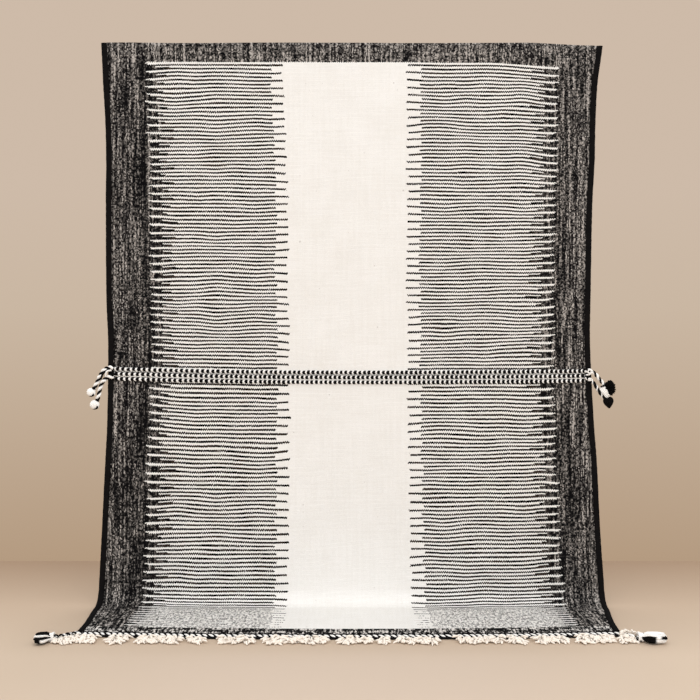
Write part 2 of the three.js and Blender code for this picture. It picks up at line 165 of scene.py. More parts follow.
def make_camera():
    """The photograph's own view: face on, a little above the middle, tilted down by a small angle."""
    data = bpy.data.cameras.new("camera")
    data.sensor_width = SENSOR_WIDTH
    data.lens = LENS
    camera = bpy.data.objects.new("camera", data)
    bpy.context.scene.collection.objects.link(camera)
    camera.location = (0, -CAMERA_DISTANCE, CAMERA_HEIGHT)
    camera.rotation_euler = (math.radians(90 - CAMERA_TILT), 0, 0)
    bpy.context.scene.camera = camera
    # The weave is about a pixel fine, so its colours reach the denoiser as they are
    bpy.context.scene.cycles.denoising_prefilter = "NONE"


# The cloth's surface

def bezier(points, count):
    t = np.linspace(0, 1, count)[:, None]
    a, b, c, d = (np.array(p, float) for p in points)
    return (1 - t) ** 3 * a + 3 * (1 - t) ** 2 * t * b + 3 * (1 - t) * t**2 * c + t**3 * d


def side_profile():
    """The cloth's side view as y and z, with the length along it, at close steps."""
    rest = -FLOOR_DROP + CLOTH_THICKNESS / 2
    top = np.array([-FOOT_FORWARD, -FLOOR_DROP + BEND_RADIUS])
    end = np.array([-FOOT_FORWARD - BEND_RADIUS, rest])
    foot = np.array([-FOOT_SLOPE, -1]) / math.hypot(FOOT_SLOPE, 1)
    # A quarter turn's handles are this share of its radius long
    handle = 0.5523 * BEND_RADIUS
    drop = bezier([(0, 0), (0, top[1] / 3), top + foot * top[1] / 3, top], 900)
    bend = bezier([top, top + foot * handle, end + np.array([handle, 0]), end], 120)
    lying = np.linspace(end, [-END_FORWARD, rest], 200)
    line = np.vstack([drop, bend[1:], lying[1:]])
    along = distance_along(line)
    return line, along, along[len(drop) - 1]


PROFILE, PROFILE_ALONG, DROP_LENGTH = side_profile()
CLOTH_LENGTH = PROFILE_ALONG[-1]
PROFILE_TANGENT = unit(np.gradient(PROFILE, PROFILE_ALONG, axis=0))


def outer_edge(side, down):
    """One outer edge's place across, by a smooth curve through the outline."""
    place = np.array(OUTLINE["down"]) * MM
    value = np.array(OUTLINE[side]) * MM
    low = np.maximum(np.arange(len(place)) - 1, 0)
    high = np.minimum(np.arange(len(place)) + 1, len(place) - 1)
    slope = (value[high] - value[low]) / (place[high] - place[low])
    i = np.clip(np.searchsorted(place, down, side="right") - 1, 0, len(place) - 2)
    span = place[i + 1] - place[i]
    t = np.clip((down - place[i]) / span, 0, 1)
    rising = t * t * (3 - 2 * t)
    bends = t * (1 - t) * span * ((1 - t) * slope[i] - t * slope[i + 1])
    return value[i] * (1 - rising) + value[i + 1] * rising + bends


def surface_rise(across, down):
    """How far folds and small ripples carry the hanging cloth forward."""
    rise = 1.1 * MM * soft_noise(across / 0.085, down / 0.21, 3)
    rise = rise + 0.5 * MM * soft_noise(across / 0.04, down / 0.06, 5)
    for middle, width, depth, start, end in np.array(FOLDS) * MM:
        spread = (across - middle) / width
        begins = smoothstep(down, start, start + FOLD_FADE)
        ends = 1 - smoothstep(down, end - FOLD_FADE, end)
        rise = rise + depth * np.exp(-spread * spread) * begins * ends
    return rise * (1 - smoothstep(down, DROP_LENGTH - FOLDS_END_ABOVE, DROP_LENGTH))


def cloth_frame(down):
    """Middle line and forward direction of the cloth in side view."""
    down = np.clip(down, 0, CLOTH_LENGTH)
    y, z = (np.interp(down, PROFILE_ALONG, PROFILE[:, k]) for k in (0, 1))
    ty, tz = (np.interp(down, PROFILE_ALONG, PROFILE_TANGENT[:, k]) for k in (0, 1))
    return y, z, ty, tz


def cloth_point(across, down, lift):
    """Points at a place across and down the cloth, held off from its middle by lift."""
    across, down, lift = np.broadcast_arrays(*(np.asarray(x, float) for x in (across, down, lift)))
    y, z, ty, tz = cloth_frame(down)
    offset = surface_rise(across, down) + lift
    return np.stack([across, y + tz * offset, z - ty * offset], -1)


def cloth_normal(down):
    _, _, ty, tz = cloth_frame(np.asarray(down, float))
    return np.stack([np.zeros_like(ty), tz, -ty], -1)


def upper_edge(across):
    """The upper edge's place down the cloth: slightly wavy, with a droop at its right end."""
    droop = UPPER_DROOP * smoothstep(across, 0.62 * HALF_WIDTH, HALF_WIDTH)
    return np.maximum(droop + UPPER_WAVE * np.sin(7 * across / HALF_WIDTH), 0)


def lower_edge(across):
    return CLOTH_LENGTH - CORNERS_BACK * np.minimum(np.abs(across) / HALF_WIDTH, 1) ** 2.2


def down_at(share, row):
    across = -HALF_WIDTH + 2 * HALF_WIDTH * share
    return upper_edge(across) * (1 - row) + lower_edge(across) * row


def between_cords(share, down, inset):
    left = outer_edge("left", down) + EDGE_CORD_WIDTH + inset
    right = outer_edge("right", down) - EDGE_CORD_WIDTH - inset
    return left * (1 - share) + right * share


def twining_down(across):
    return TWINING_DOWN - by_side(across, TWINING_RISE) * (across / HALF_WIDTH) ** 2


# The weave's own coordinates

def weave_place(across, down):
    """Columns of warp, stripes counted downwards, and straightened places across and down."""
    share = np.abs(across) / HALF_WIDTH
    near_twining = np.exp(-(((down - TWINING_DOWN) / 0.22) ** 2))
    bow = (TWINING_DOWN - twining_down(across)) * near_twining
    bow = bow + CORNERS_BACK * share**2.2 * smoothstep(down, 1.75, 2.30)
    straight_down = down + bow
    # Stripes rise and fall along their length, most of all at their outer ends
    wander = 5.2 * MM * soft_noise(across / 0.16 + 3, straight_down / 0.10, 21)
    wander = wander + 2.6 * MM * soft_noise(across / 0.07, straight_down / 0.05, 22)
    outer = smoothstep(np.abs(across), 0.60, 0.74)
    wander = wander + 11 * MM * outer * soft_noise(np.sign(across) * 3 + 8.5, straight_down / 0.21, 23)
    quiet = smoothstep(straight_down, 0.05, 0.14) * (1 - smoothstep(straight_down, 2.22, 2.31))
    clear = smoothstep(np.abs(straight_down - TWINING_DOWN), 0.03, 0.10)
    droop = 0.017 * smoothstep(across, 0.48, 0.76) * np.exp(-((straight_down / 0.20) ** 2))
    wandering_down = straight_down + wander * quiet * (0.35 + 0.65 * clear) - droop

    def phase(side):
        s = STRIPES[side]
        above = (wandering_down - s["upper_first"]) / s["upper_pitch"]
        below = (wandering_down - s["lower_first"]) / s["lower_pitch"] + STRIPES_ABOVE_TWINING
        return np.where(straight_down < TWINING_DOWN, above, below) + 0.45

    to_right = smoothstep(across, -0.22, 0.20)
    stripes = phase("left") * (1 - to_right) + phase("right") * to_right
    tips_down, *tips = (np.array(places) * MM for places in TIPS.values())
    tips = [np.interp(down, tips_down, tip) for tip in tips]
    knots = [outer_edge("left", down) + EDGE_CORD_WIDTH, *tips, outer_edge("right", down) - EDGE_CORD_WIDTH]
    pattern = np.full_like(across, PATTERN_ACROSS[0])
    for low, high, start, end in zip(knots, knots[1:], PATTERN_ACROSS, PATTERN_ACROSS[1:]):
        step = start + (end - start) * np.clip((across - low) / (high - low), 0, 1)
        pattern = np.where(across >= low, step, pattern)
    columns = (across + 1.2 * MM * soft_noise(across / 0.2, down / 0.3, 31)) / WARP_COLUMN
    return np.stack([columns, stripes, pattern], -1), np.stack([across, wandering_down, straight_down], -1)


# Meshes

def new_object(name, points, faces, smooth=True):
    mesh = bpy.data.meshes.new(name)
    mesh.from_pydata(points.tolist(), [], faces)
    mesh.validate()
    mesh.polygons.foreach_set("use_smooth", [smooth] * len(mesh.polygons))
    piece = bpy.data.objects.new(name, mesh)
    bpy.context.scene.collection.objects.link(piece)
    return piece


def point_attribute(piece, name, kind, values):
    attribute = piece.data.attributes.new(name, kind, "POINT")
    field = "vector" if kind == "FLOAT_VECTOR" else "value"
    attribute.data.foreach_set(field, np.ascontiguousarray(values, np.float32).ravel())


def finish_piece(piece, material, replaced):
    piece.data.materials.append(material)
    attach(piece, "root")
    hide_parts(replaced)
    return piece


def tube_faces(steps, sides, base=0):
    """Faces of a closed tube of rings: its sides, and then its two ends."""
    faces = []
    for i in range(steps - 1):
        a, b = base + i * sides, base + (i + 1) * sides
        for k in range(sides):
            j = (k + 1) % sides
            faces.append((a + k, a + j, b + j, b + k))
    last = base + (steps - 1) * sides
    return [*faces, tuple(range(base, base + sides))[::-1], tuple(range(last, last + sides))]


class Yarns:
    """Collects swept yarns and makes one mesh of them. A tone of 0 is black and 1 is cream."""

    def __init__(self):
        self.points, self.faces, self.tones, self.maps = [], [], [], []

    def add(self, path, radius, tone, sides=6, flatness=1.0, normals=None):
        """A closed tube along a path. Flatness narrows it along its normals."""
        path = np.asarray(path, float)
        steps = len(path)
        radius = np.broadcast_to(radius, steps)[:, None, None]
        tangent = unit(np.gradient(path, axis=0))
        if normals is None:
            normals = carried_normals(tangent)
        else:
            normals = unit(normals - (normals * tangent).sum(1)[:, None] * tangent)
        sideways = np.cross(tangent, normals)
        angle = (np.arange(sides) * 2 * math.pi / sides)[None, :, None]
        rings = path[:, None] + radius * circle(angle, flatness * normals[:, None], sideways[:, None])
        length = distance_along(path)
        for i in range(steps - 1):
            for k in range(sides):
                u, v = k / sides, (k + 1) / sides
                self.maps += [(length[i], u), (length[i], v), (length[i + 1], v), (length[i + 1], u)]
        self.maps += [(0, k / sides) for k in reversed(range(sides))]
        self.maps += [(length[-1], k / sides) for k in range(sides)]
        self.faces += tube_faces(steps, sides, sum(len(points) for points in self.points))
        self.points.append(rings.reshape(-1, 3))
        self.tones.append(np.repeat(np.broadcast_to(tone, steps), sides))

    def bent(self, points, count, radius, tone, sides):
        """A yarn that runs smoothly through a few points."""
        self.add(smooth_path(points, count), radius, tone, sides=sides)

    def finish(self, name, material, slot, replaced):
        piece = new_object(name, np.concatenate(self.points), self.faces)
        point_attribute(piece, "tone", "FLOAT", np.concatenate(self.tones))
        layer = piece.data.uv_layers.new(name="Yarn")
        layer.data.foreach_set("uv", np.array(self.maps, np.float32).ravel())
        return finish_piece(piece, material, replaced)


def carried_normals(tangent):
    """Normals carried along a path without twist."""
    first = np.cross(tangent[0], (0.31, 0.22, 0.93))
    if np.linalg.norm(first) < 0.1:
        first = np.cross(tangent[0], (0, 1, 0))
    normals = [unit(first)]
    for t in tangent[1:]:
        normals.append(unit(normals[-1] - t * np.dot(normals[-1], t)))
    return np.array(normals)


def smooth_path(points, count):
    """A Catmull-Rom curve through the points, at even parameter steps."""
    points = np.asarray(points, float)
    padded = np.vstack([2 * points[0] - points[1], points, 2 * points[-1] - points[-2]])
    t = np.linspace(0, len(points) - 1, count)
    i = np.minimum(t.astype(int), len(points) - 2)
    f = (t - i)[:, None]
    a, b, c, d = (padded[i + k] for k in range(4))
    return 0.5 * (2 * b + (c - a) * f + (2 * a - 5 * b + 4 * c - d) * f**2 + (3 * b - a - 3 * c + d) * f**3)


# Materials

class Number:
    """A number that a material works out at each point. Arithmetic on it adds math nodes."""

    def __init__(self, nodes, socket):
        self.nodes, self.socket = nodes, socket

    def __rsub__(self, other):
        return self.nodes.math("SUBTRACT", other, self)


OPERATIONS = {
    "add": "ADD", "radd": "ADD", "sub": "SUBTRACT", "mul": "MULTIPLY", "rmul": "MULTIPLY",
    "truediv": "DIVIDE", "gt": "GREATER_THAN", "lt": "LESS_THAN",
}
for short, operation in OPERATIONS.items():
    setattr(Number, f"__{short}__", lambda a, b, operation=operation: a.nodes.math(operation, a, b))


class Nodes:
    """Short ways to add nodes to a tree and link them."""

    def __init__(self, tree):
        self.tree = tree

    def node(self, kind, inputs=(), **settings):
        node = self.tree.nodes.new(kind)
        for key, value in settings.items():
            setattr(node, key, value)
        for key, value in dict(inputs).items():
            self.set(node.inputs[key], value)
        return node

    def set(self, socket, value):
        if isinstance(value, Number):
            value = value.socket
        if isinstance(value, bpy.types.NodeSocket):
            self.tree.links.new(value, socket)
        else:
            socket.default_value = value

    def math(self, operation, a, b=0.0):
        return Number(self, self.node("ShaderNodeMath", {0: a, 1: b}, operation=operation).outputs[0])

    def scaled(self, value, low, high, to_low=0.0, to_high=1.0, kind="SMOOTHSTEP"):
        inputs = {"Value": value, "From Min": low, "From Max": high, "To Min": to_low, "To Max": to_high}
        node = self.node("ShaderNodeMapRange", inputs, interpolation_type=kind, clamp=True)
        return Number(self, node.outputs["Result"])

    def odd(self, number):
        """1 for an odd number and 0 for an even one."""
        return self.math("FRACT", number * 0.5) * 2.0

    def mix(self, factor, a, b):
        """A colour between a and b."""
        return self.node("ShaderNodeMix", {0: factor, 6: a, 7: b}, data_type="RGBA").outputs[2]

    def blend(self, factor, a, b):
        """A number between a and b."""
        return factor * (b - a) + a

    def vector(self, x, y, z=0.0):
        return self.node("ShaderNodeCombineXYZ", {0: x, 1: y, 2: z}).outputs[0]

    def parts(self, vector):
        return [Number(self, part) for part in self.node("ShaderNodeSeparateXYZ", {0: vector}).outputs]

    def place(self, kind="Object"):
        return self.node("ShaderNodeTexCoord").outputs[kind]

    def attribute(self, name, output="Vector"):
        return self.node("ShaderNodeAttribute", attribute_name=name).outputs[output]

    def noise(self, vector, scale=1.0, detail=2.0, roughness=0.5):
        inputs = {"Vector": vector, "Scale": scale, "Detail": detail, "Roughness": roughness}
        return Number(self, self.node("ShaderNodeTexNoise", inputs, noise_dimensions="3D").outputs[0])

    def grain(self, name, across, down):
        """Noise in patches as the table of grains gives them."""
        wide, high, seed, detail = GRAINS[name]
        return self.noise(self.vector(across / wide, down / high, seed), detail=detail)

    def random(self, x, y, z):
        inputs = {"Vector": self.vector(x, y, z)}
        node = self.node("ShaderNodeTexWhiteNoise", inputs, noise_dimensions="3D")
        return Number(self, node.outputs["Value"])


class Shader(Nodes):
    """A matt material of a given name."""

    def __init__(self, name, roughness=0.95, sheen=0.0):
        self.material = bpy.data.materials.new(name)
        self.material.use_nodes = True
        super().__init__(self.material.node_tree)
        self.surface = self.tree.nodes["Principled BSDF"]
        looks = {"Roughness": roughness, "Specular IOR Level": 0.02}
        looks |= {"Sheen Weight": sheen, "Sheen Roughness": 0.6}
        for key, value in looks.items():
            self.set(self.surface.inputs[key], value)

    def bump(self, height, strength, distance):
        node = self.node("ShaderNodeBump", {"Height": height, "Strength": strength, "Distance": distance})
        self.set(self.surface.inputs["Normal"], node.outputs[0])

    def color(self, color, shade=1.0):
        node = self.node("ShaderNodeVectorMath", {0: color, "Scale": shade}, operation="SCALE")
        self.set(self.surface.inputs["Base Color"], node.outputs[0])


BLACK = (0.0042, 0.0040, 0.0044, 1)
BLACK_LIGHTER = (0.014, 0.012, 0.011, 1)
BROWN_BLACK = (0.040, 0.029, 0.022, 1)
CREAM = (0.815, 0.796, 0.768, 1)
CREAM_DARKER = (0.765, 0.742, 0.706, 1)
GREY = (0.44, 0.402, 0.37, 1)
PALE_GREY = (0.70, 0.66, 0.62, 1)
TWINED_LIGHT = (0.95, 0.93, 0.905, 1)
TWINED_DARKER = (0.88, 0.85, 0.81, 1)
FRINGE_LIGHT = (0.95, 0.90, 0.84, 1)
FRINGE_DARKER = (0.80, 0.69, 0.57, 1)

# Grains of the weave: sizes across and down in metres, or down in stripes for worn, then seed and detail
GRAINS = {
    "sway": (0.05, 0.014, 12, 0),
    "swell": (0.09, 0.03, 14, 1),
    "zigzag": (0.06, 0.04, 18, 1),
    "wide_streak": (0.013, 0.30, 6, 2),
    "blotch": (0.07, 0.016, 8, 2),
    "band_patch": (0.06, 0.030, 20, 1),
    "band_grain": (0.0075, 0.045, 26, 1),
    "mark": (0.009, 0.026, 16, 1),
    "worn": (0.035, 1, 6, 1),
    "upright": (0.010, 0.22, 2, 3),
    "level": (0.16, 0.009, 9, 3),
    "cloud": (0.12, 0.12, 3, 2),
    "rib": (0.008, 0.022, 24, 1),
}
# How much each thing adds to the heather's lightness
HEATHER_SHARES = {
    "chance": 0.96, "streak": 0.55, "long_streak": 1.95, "wide_streak": 1.60, "band": 2.5, "mark": 3.0,
}
# From hanging to lying cloth, in metres down
LYING = (2.062, 2.14)
# The range of picks over which beads stray from their row
STRAY = 1.15
TIP_JITTER = 0.005
# Lengths over which the tips of long and short white teeth are thin
THIN_TIPS = (0.012, 0.045)
# Levels of the top and the end band of heather
BAND_LEVELS = (0.51, 0.335)


def find_bead(s, at):
    """The bead of weft that shows at each point."""
    # Neighbouring stripes' columns don't line up quite, and dark stripes swell and thin
    column = (s.grain("sway", at.across, at.wandering) - 0.5) * 2.0 + at.column
    thicker = s.scaled(s.grain("swell", at.across, at.wandering), 0.3, 0.7, *DARK_THICKER) * (1.0 - at.hidden)
    thicker = s.math("SINE", at.stripe * (2 * math.pi)) * thicker
    pick = (at.stripe + thicker) * PICKS_PER_STRIPE
    pick_height = STRIPE_HEIGHT / PICKS_PER_STRIPE / (WARP_COLUMN * BEAD_SQUARENESS)
    # Beads of neighbouring columns stand up to a pick apart, so that stripes' edges are a zigzag in patches
    apart = s.scaled(s.grain("zigzag", at.across, at.wandering), 0.35, 0.65, 0.35, 1.05)

    def bead_of(number):
        """A column's bead at this height, as its middle pick, and how far off that is."""
        ragged = s.noise(s.vector(number * 5.7, pick * 0.11, 30.0), detail=0.0)
        shifted = (s.odd(number) - 0.5) * apart + pick + (ragged - 0.5) * STRAY
        middle = s.math("FLOOR", shifted * 0.5) * 2.0 + 1.0
        across_off = column - (number + 0.5)
        down_off = (shifted - middle) * pick_height
        return middle, across_off * across_off + down_off * down_off

    own_column = s.math("FLOOR", column)
    next_column = own_column + ((s.math("FRACT", column) > 0.5) * 2.0 - 1.0)
    own_middle, own_far = bead_of(own_column)
    next_middle, next_far = bead_of(next_column)
    is_next = next_far < own_far
    at.column_number = s.blend(is_next, own_column, next_column)
    at.bead_pick = s.blend(is_next, own_middle, next_middle)
    at.bead_far = s.math("MINIMUM", own_far, next_far)
    at.chance = s.random(at.column_number, at.bead_pick, 0.5)
    at.other_chance = s.random(at.bead_pick, at.column_number, 7.5)
    at.bead_across = (at.column_number + 0.5 - column) * WARP_COLUMN + at.pattern


def find_stripes(s, at):
    """Where beads are white, where the end bands lie, and how plain the dark stripes are."""
    _, left_outer, left_inner, right_inner, right_outer, _ = PATTERN_ACROSS
    # White stripes, counted at their middles. Odd ones have the short teeth.
    stripe_at = at.bead_pick / PICKS_PER_STRIPE
    white_number = s.math("FLOOR", stripe_at + 0.5)
    white_odd = s.odd(white_number)
    from_white = s.math("ABSOLUTE", white_number * -PICKS_PER_STRIPE + (at.bead_pick + WHITE_MIDDLE))
    at.dark_number = s.math("FLOOR", stripe_at)
    dark_odd = s.odd(at.dark_number)
    tip_jitter = s.random(white_number, 3.5, 1.0) * (2 * TIP_JITTER) - TIP_JITTER
    dark_jitter = s.random(at.dark_number, 9.5, 2.0) * (2 * TIP_JITTER) - TIP_JITTER

    past_left = at.bead_across - (white_odd * TOOTH_STEP["left"] + left_outer + tip_jitter)
    past_right = white_odd * -TOOTH_STEP["right"] + right_outer + tip_jitter - at.bead_across
    past_tip = s.math("MINIMUM", past_left, past_right)
    uneven = s.random(white_number, 6.5, at.pattern > 0.0)
    full_width = past_tip > s.blend(white_odd, *THIN_TIPS) * (uneven + 0.3)
    in_stripe = (from_white < full_width * 0.6 + 1.0) * (past_tip > 0.0)

    # The cream middle, with the dark stripes' teeth reaching into it
    past_left = at.bead_across - (dark_odd * -TOOTH_STEP["left"] + left_inner + dark_jitter)
    past_right = dark_odd * TOOTH_STEP["right"] + right_inner + dark_jitter - at.bead_across
    in_middle = s.math("MINIMUM", past_left, past_right) > 0.0

    # Bands of heather across the two ends
    at.in_end = at.straight > END_BAND_DOWN
    at.in_band = s.math("MAXIMUM", stripe_at < -0.3, at.in_end)
    at.white = s.math("MAXIMUM", in_stripe, in_middle) * (1.0 - at.in_band)
    inside = s.math("MINIMUM", at.pattern - (left_outer + 0.02), (right_outer - 0.02) - at.pattern)
    at.plain = s.scaled(inside, 0.0, 0.07) * (1.0 - at.in_band)


def heather_color(s, at):
    """Black and grey wool spun together, in specks and fine upright streaks a column wide."""
    column_place = at.column_number * 7.3
    parts = {
        "chance": at.chance,
        "streak": s.noise(s.vector(column_place, at.wandering / 0.026), detail=1.0),
        "long_streak": s.noise(s.vector(column_place, at.wandering / 0.15, 4.0), detail=1.0),
        "wide_streak": s.grain("wide_streak", at.across, at.wandering),
    }
    # Lighter towards the cloth's edges, on the right and higher up
    level = s.scaled(at.to_edge, 0.73, 0.875, 0.24, 0.46, kind="LINEAR")
    level = level + (s.scaled(at.pattern, -0.1, 0.1, 0.0, 0.08) + s.scaled(at.straight, 1.0, 1.4, 0.0, -0.06))
    level = s.blend(at.in_band, level, s.blend(at.in_end, *BAND_LEVELS))
    for name, part in parts.items():
        level = level + (part - 0.5) * HEATHER_SHARES[name]
    band = s.grain("band_patch", at.across, at.straight) + s.grain("band_grain", at.across, at.straight) - 1.0
    level = level + band * at.in_end * HEATHER_SHARES["band"]
    near_teeth = s.scaled(at.to_edge, 0.70, 0.80, 0.95, 0.20)
    level = level + (s.grain("blotch", at.across, at.wandering) - 0.5) * near_teeth
    level = level + at.mark * HEATHER_SHARES["mark"]
    # The colours go from black to light grey as a power of the level, so that most are dark
    lightest = s.mix(at.in_end, GREY, PALE_GREY)
    return s.mix(s.math("POWER", s.scaled(level, 0.0, 1.1, kind="LINEAR"), 2.4), BLACK, lightest)


def dark_color(s, at):
    """Dark stripes are nearly plain inside the panels and turn to heather at the outer teeth."""
    worn = s.scaled(at.chance * 0.20 + s.grain("worn", at.across, at.stripe), 0.48, 0.80)
    black = s.mix(worn, s.mix(at.chance * at.other_chance, BLACK, BLACK_LIGHTER), BROWN_BLACK)
    dark = s.mix(at.plain, heather_color(s, at), black)
    # On the floor the thin dark picks sink between the plump white ones
    faint_line = s.random(at.dark_number, 5.5, 3.0) > 0.5
    in_cream = s.scaled(at.to_edge, 0.30, 0.25)
    share_sunk = s.blend(in_cream, at.mark * 6.5 + 0.52, faint_line * 0.70) * at.lying
    return s.mix(at.plain * (at.other_chance < share_sunk), dark, PALE_GREY)


def cream_color(s, at):
    shade = s.grain("upright", at.across, at.wandering) + s.grain("level", at.across, at.wandering)
    shade = (shade + s.grain("cloud", at.across, at.wandering)) * 0.333 + (at.chance - 0.5) * 0.10
    cream = s.mix(s.scaled(shade, 0.34, 0.68), CREAM, CREAM_DARKER)
    speck = s.noise(s.vector(at.across, at.wandering, 5.0), scale=85.0, detail=0.0) > 0.87
    return s.mix(speck * 0.55, cream, GREY)


def woven_material():
    """Weft-faced weave: each warp column shows every second pick as a bead, and neighbours are offset."""
    s = Shader("woven_wool")
    at = SimpleNamespace()
    at.column, at.stripe, at.pattern = s.parts(s.attribute("weave"))
    at.across, at.wandering, at.straight = s.parts(s.attribute("place"))
    at.to_edge = s.math("ABSOLUTE", at.pattern)
    at.lying = s.scaled(at.straight, *LYING)
    at.mark = (s.grain("mark", at.across, at.straight) - 0.5) * at.lying
    # On the floor the plump white picks hide much of the dark ones, but for their teeth in the cream
    at.hidden = at.lying * s.scaled(at.to_edge, 0.26, 0.32, 0.0, 0.85)
    find_bead(s, at)
    find_stripes(s, at)
    color = s.mix(at.white, dark_color(s, at), cream_color(s, at))

    # Each bead is a small dome, with shade in the gaps, and more between the ribs that lie on the floor
    height = s.scaled(at.bead_far, 0.42, 0.0)
    rib_shade = s.scaled(s.grain("rib", at.across, at.straight), 0.44, 0.66, 0.0, 0.70)
    rib_shade = rib_shade * (at.hidden * at.plain)
    s.color(color, s.scaled(height, 0.0, 0.5, 0.74, 1.0) * (1.0 - rib_shade))
    fibre = s.noise(s.vector(at.across * 900.0, at.wandering * 2600.0))
    s.bump(fibre * 0.25 + height, 0.55, 0.0012)
    return s.material


def yarn_material(name, ply_pitch, ply_count, cream, cream_darker, sheen=0.0):
    """Spun yarn: slanting plies and fine fibres. The tone attribute picks black or cream."""
    s = Shader(name, sheen=sheen)
    along, around, _ = s.parts(s.node("ShaderNodeUVMap", uv_map="Yarn").outputs[0])
    turn = along * (1 / ply_pitch) + around * ply_count
    ply = s.math("ABSOLUTE", s.math("SINE", turn * math.pi))
    fibre = s.noise(s.vector(along * 500.0, around * 9.0 + turn * 3.0), detail=3.0, roughness=0.6)
    fleece = s.noise(s.place(), scale=55.0)
    light = s.mix((fibre + fleece) * 0.5, cream, cream_darker)
    dark = s.mix(s.math("POWER", fibre, 2.0), BLACK, BLACK_LIGHTER)
    # The colour darkens in the grooves between the plies: painted shade
    s.color(s.mix(s.attribute("tone", "Fac"), dark, light), s.scaled(ply, 0.0, 0.5, 0.70, 1.0))
    s.bump(fibre * 0.35 + ply, 0.6, 0.0007)
    return s.material


def wound_material():
    """Black yarn wound round the edge cords, with painted highlight where a wrap stands out and painted shade
    in the grooves between wraps.
    """
    s = Shader("wound_black_wool")
    stretched = s.node("ShaderNodeMapping", {"Vector": s.place(), "Scale": (260.0, 260.0, 1500.0)}).outputs[0]
    fibre = s.noise(stretched, detail=3.0, roughness=0.6)
    patch = s.noise(s.place(), scale=28.0)
    # Fibre and patch are the wool's own tone; the wraps attribute adds painted highlight on the wraps' crests
    # and painted shade between them
    tone = fibre * patch * s.scaled(s.attribute("wraps", "Fac"), 0.1, 0.9, 0.2, 1.4)
    s.color(s.mix(tone, BLACK, BLACK_LIGHTER))
    s.bump(fibre, 0.5, 0.0006)
    return s.material


# The woven sheet

SHEET_COLUMNS = 140
SHEET_ROWS = {"hanging": 205, "bend": 22, "lying": 30}
BEND_END_DOWN = 2.085
# How far the thin upper edge rounds upwards
EDGE_ROUND = 0.0018
MAP_MARGIN = 0.006


def woven_sheet(material):
    """A closed thin sheet with a rounded upper edge, on the folds of the hanging cloth."""
    foot, flat = DROP_LENGTH / CLOTH_LENGTH, BEND_END_DOWN / CLOTH_LENGTH
    rows = np.concatenate([
        np.linspace(0, foot, SHEET_ROWS["hanging"], endpoint=False),
        np.linspace(foot, flat, SHEET_ROWS["bend"], endpoint=False),
        np.linspace(flat, 1, SHEET_ROWS["lying"] + 1),
    ])
    share, row = np.meshgrid(np.linspace(0, 1, SHEET_COLUMNS + 1), rows)
    down = down_at(share, row)
    across = between_cords(share, down, SEAM_GAP)
    front, back = (cloth_point(across, down, side * CLOTH_THICKNESS / 2).reshape(-1, 3) for side in (1, -1))
    high, wide = share.shape
    count = high * wide
    number = np.arange(count).reshape(high, wide)
    rim = np.concatenate([number[0, :-1], number[:-1, -1], number[-1, :0:-1], number[:0:-1, 0]])
    middle = (front[rim] + back[rim]) / 2
    middle[:wide - 1, 2] += EDGE_ROUND

    a, b, c, d = number[:-1, :-1], number[:-1, 1:], number[1:, 1:], number[1:, :-1]
    front_faces = np.stack([a, d, c, b], -1).reshape(-1, 4)
    back_faces = np.stack([a, b, c, d], -1).reshape(-1, 4) + count
    ring = np.arange(len(rim)) + 2 * count
    front_rim = np.stack([rim, np.roll(rim, -1), np.roll(ring, -1), ring], -1)
    back_rim = front_rim[:, ::-1] + np.array([0, 0, count, count])
    faces = np.concatenate([front_faces, back_faces, front_rim, back_rim])
    piece = new_object("woven_sheet", np.concatenate([front, back, middle]), faces.tolist())

    for name, values in zip(("weave", "place"), weave_place(across, down)):
        values = values.reshape(-1, 3)
        point_attribute(piece, name, "FLOAT_VECTOR", np.concatenate([values, values, values[rim]]))

    # The bake's map: the front in its left half and the back in its right half
    half = MAP_MARGIN + (0.5 - 2 * MAP_MARGIN) * share.ravel()
    v = np.tile(1 - MAP_MARGIN - (1 - 2 * MAP_MARGIN) * row.ravel(), 2)
    spots = np.stack([np.concatenate([half, half + 0.5]), v], -1)
    rim_spots = spots[rim]
    outward = np.sign(rim_spots - np.array([0.25, 0.5])) * (MAP_MARGIN / 2)
    on_side = np.abs(rim_spots[:, 0] - 0.25) > 0.25 - 1.5 * MAP_MARGIN
    outward *= np.stack([on_side, ~on_side], -1)
    ring_spots = rim_spots + outward
    next_rim, next_ring = np.roll(rim_spots, -1, 0), np.roll(ring_spots, -1, 0)
    front_rim_map = np.stack([rim_spots, next_rim, next_ring, ring_spots], 1)
    back_rim_map = front_rim_map[:, ::-1] + np.array([0.5, 0])
    spread = np.concatenate([spots[front_faces], spots[back_faces], front_rim_map, back_rim_map])
    layer = piece.data.uv_layers.new(name="OFBake")
    layer.data.foreach_set("uv", spread.astype(np.float32).ravel())
    return finish_piece(piece, material, "rug_cloth")


# The edge cords

CORD_SECTION = {
    "across": [0, 2, 5, 16, 20.6, 20.6, 16, 10, 4],
    "lift": [2, -1.2, -2.9, -2.9, -1.5, 3.4, 6.0, 6.9, 5.7],
}
CORD_SIDES = 14
WRAP_PITCH = 0.0052


def cord_section():
    """The cord's cross-section as a smooth loop of evenly spaced points."""
    corners = np.stack([CORD_SECTION["across"], CORD_SECTION["lift"]], -1) * MM
    fine = 12
    loop = smooth_path(np.vstack([corners[-1:], corners, corners[:2]]), fine * (len(corners) + 2) + 1)
    loop = loop[fine:fine * (len(corners) + 1)]
    return loop[np.linspace(0, len(loop), CORD_SIDES, endpoint=False).astype(int)]


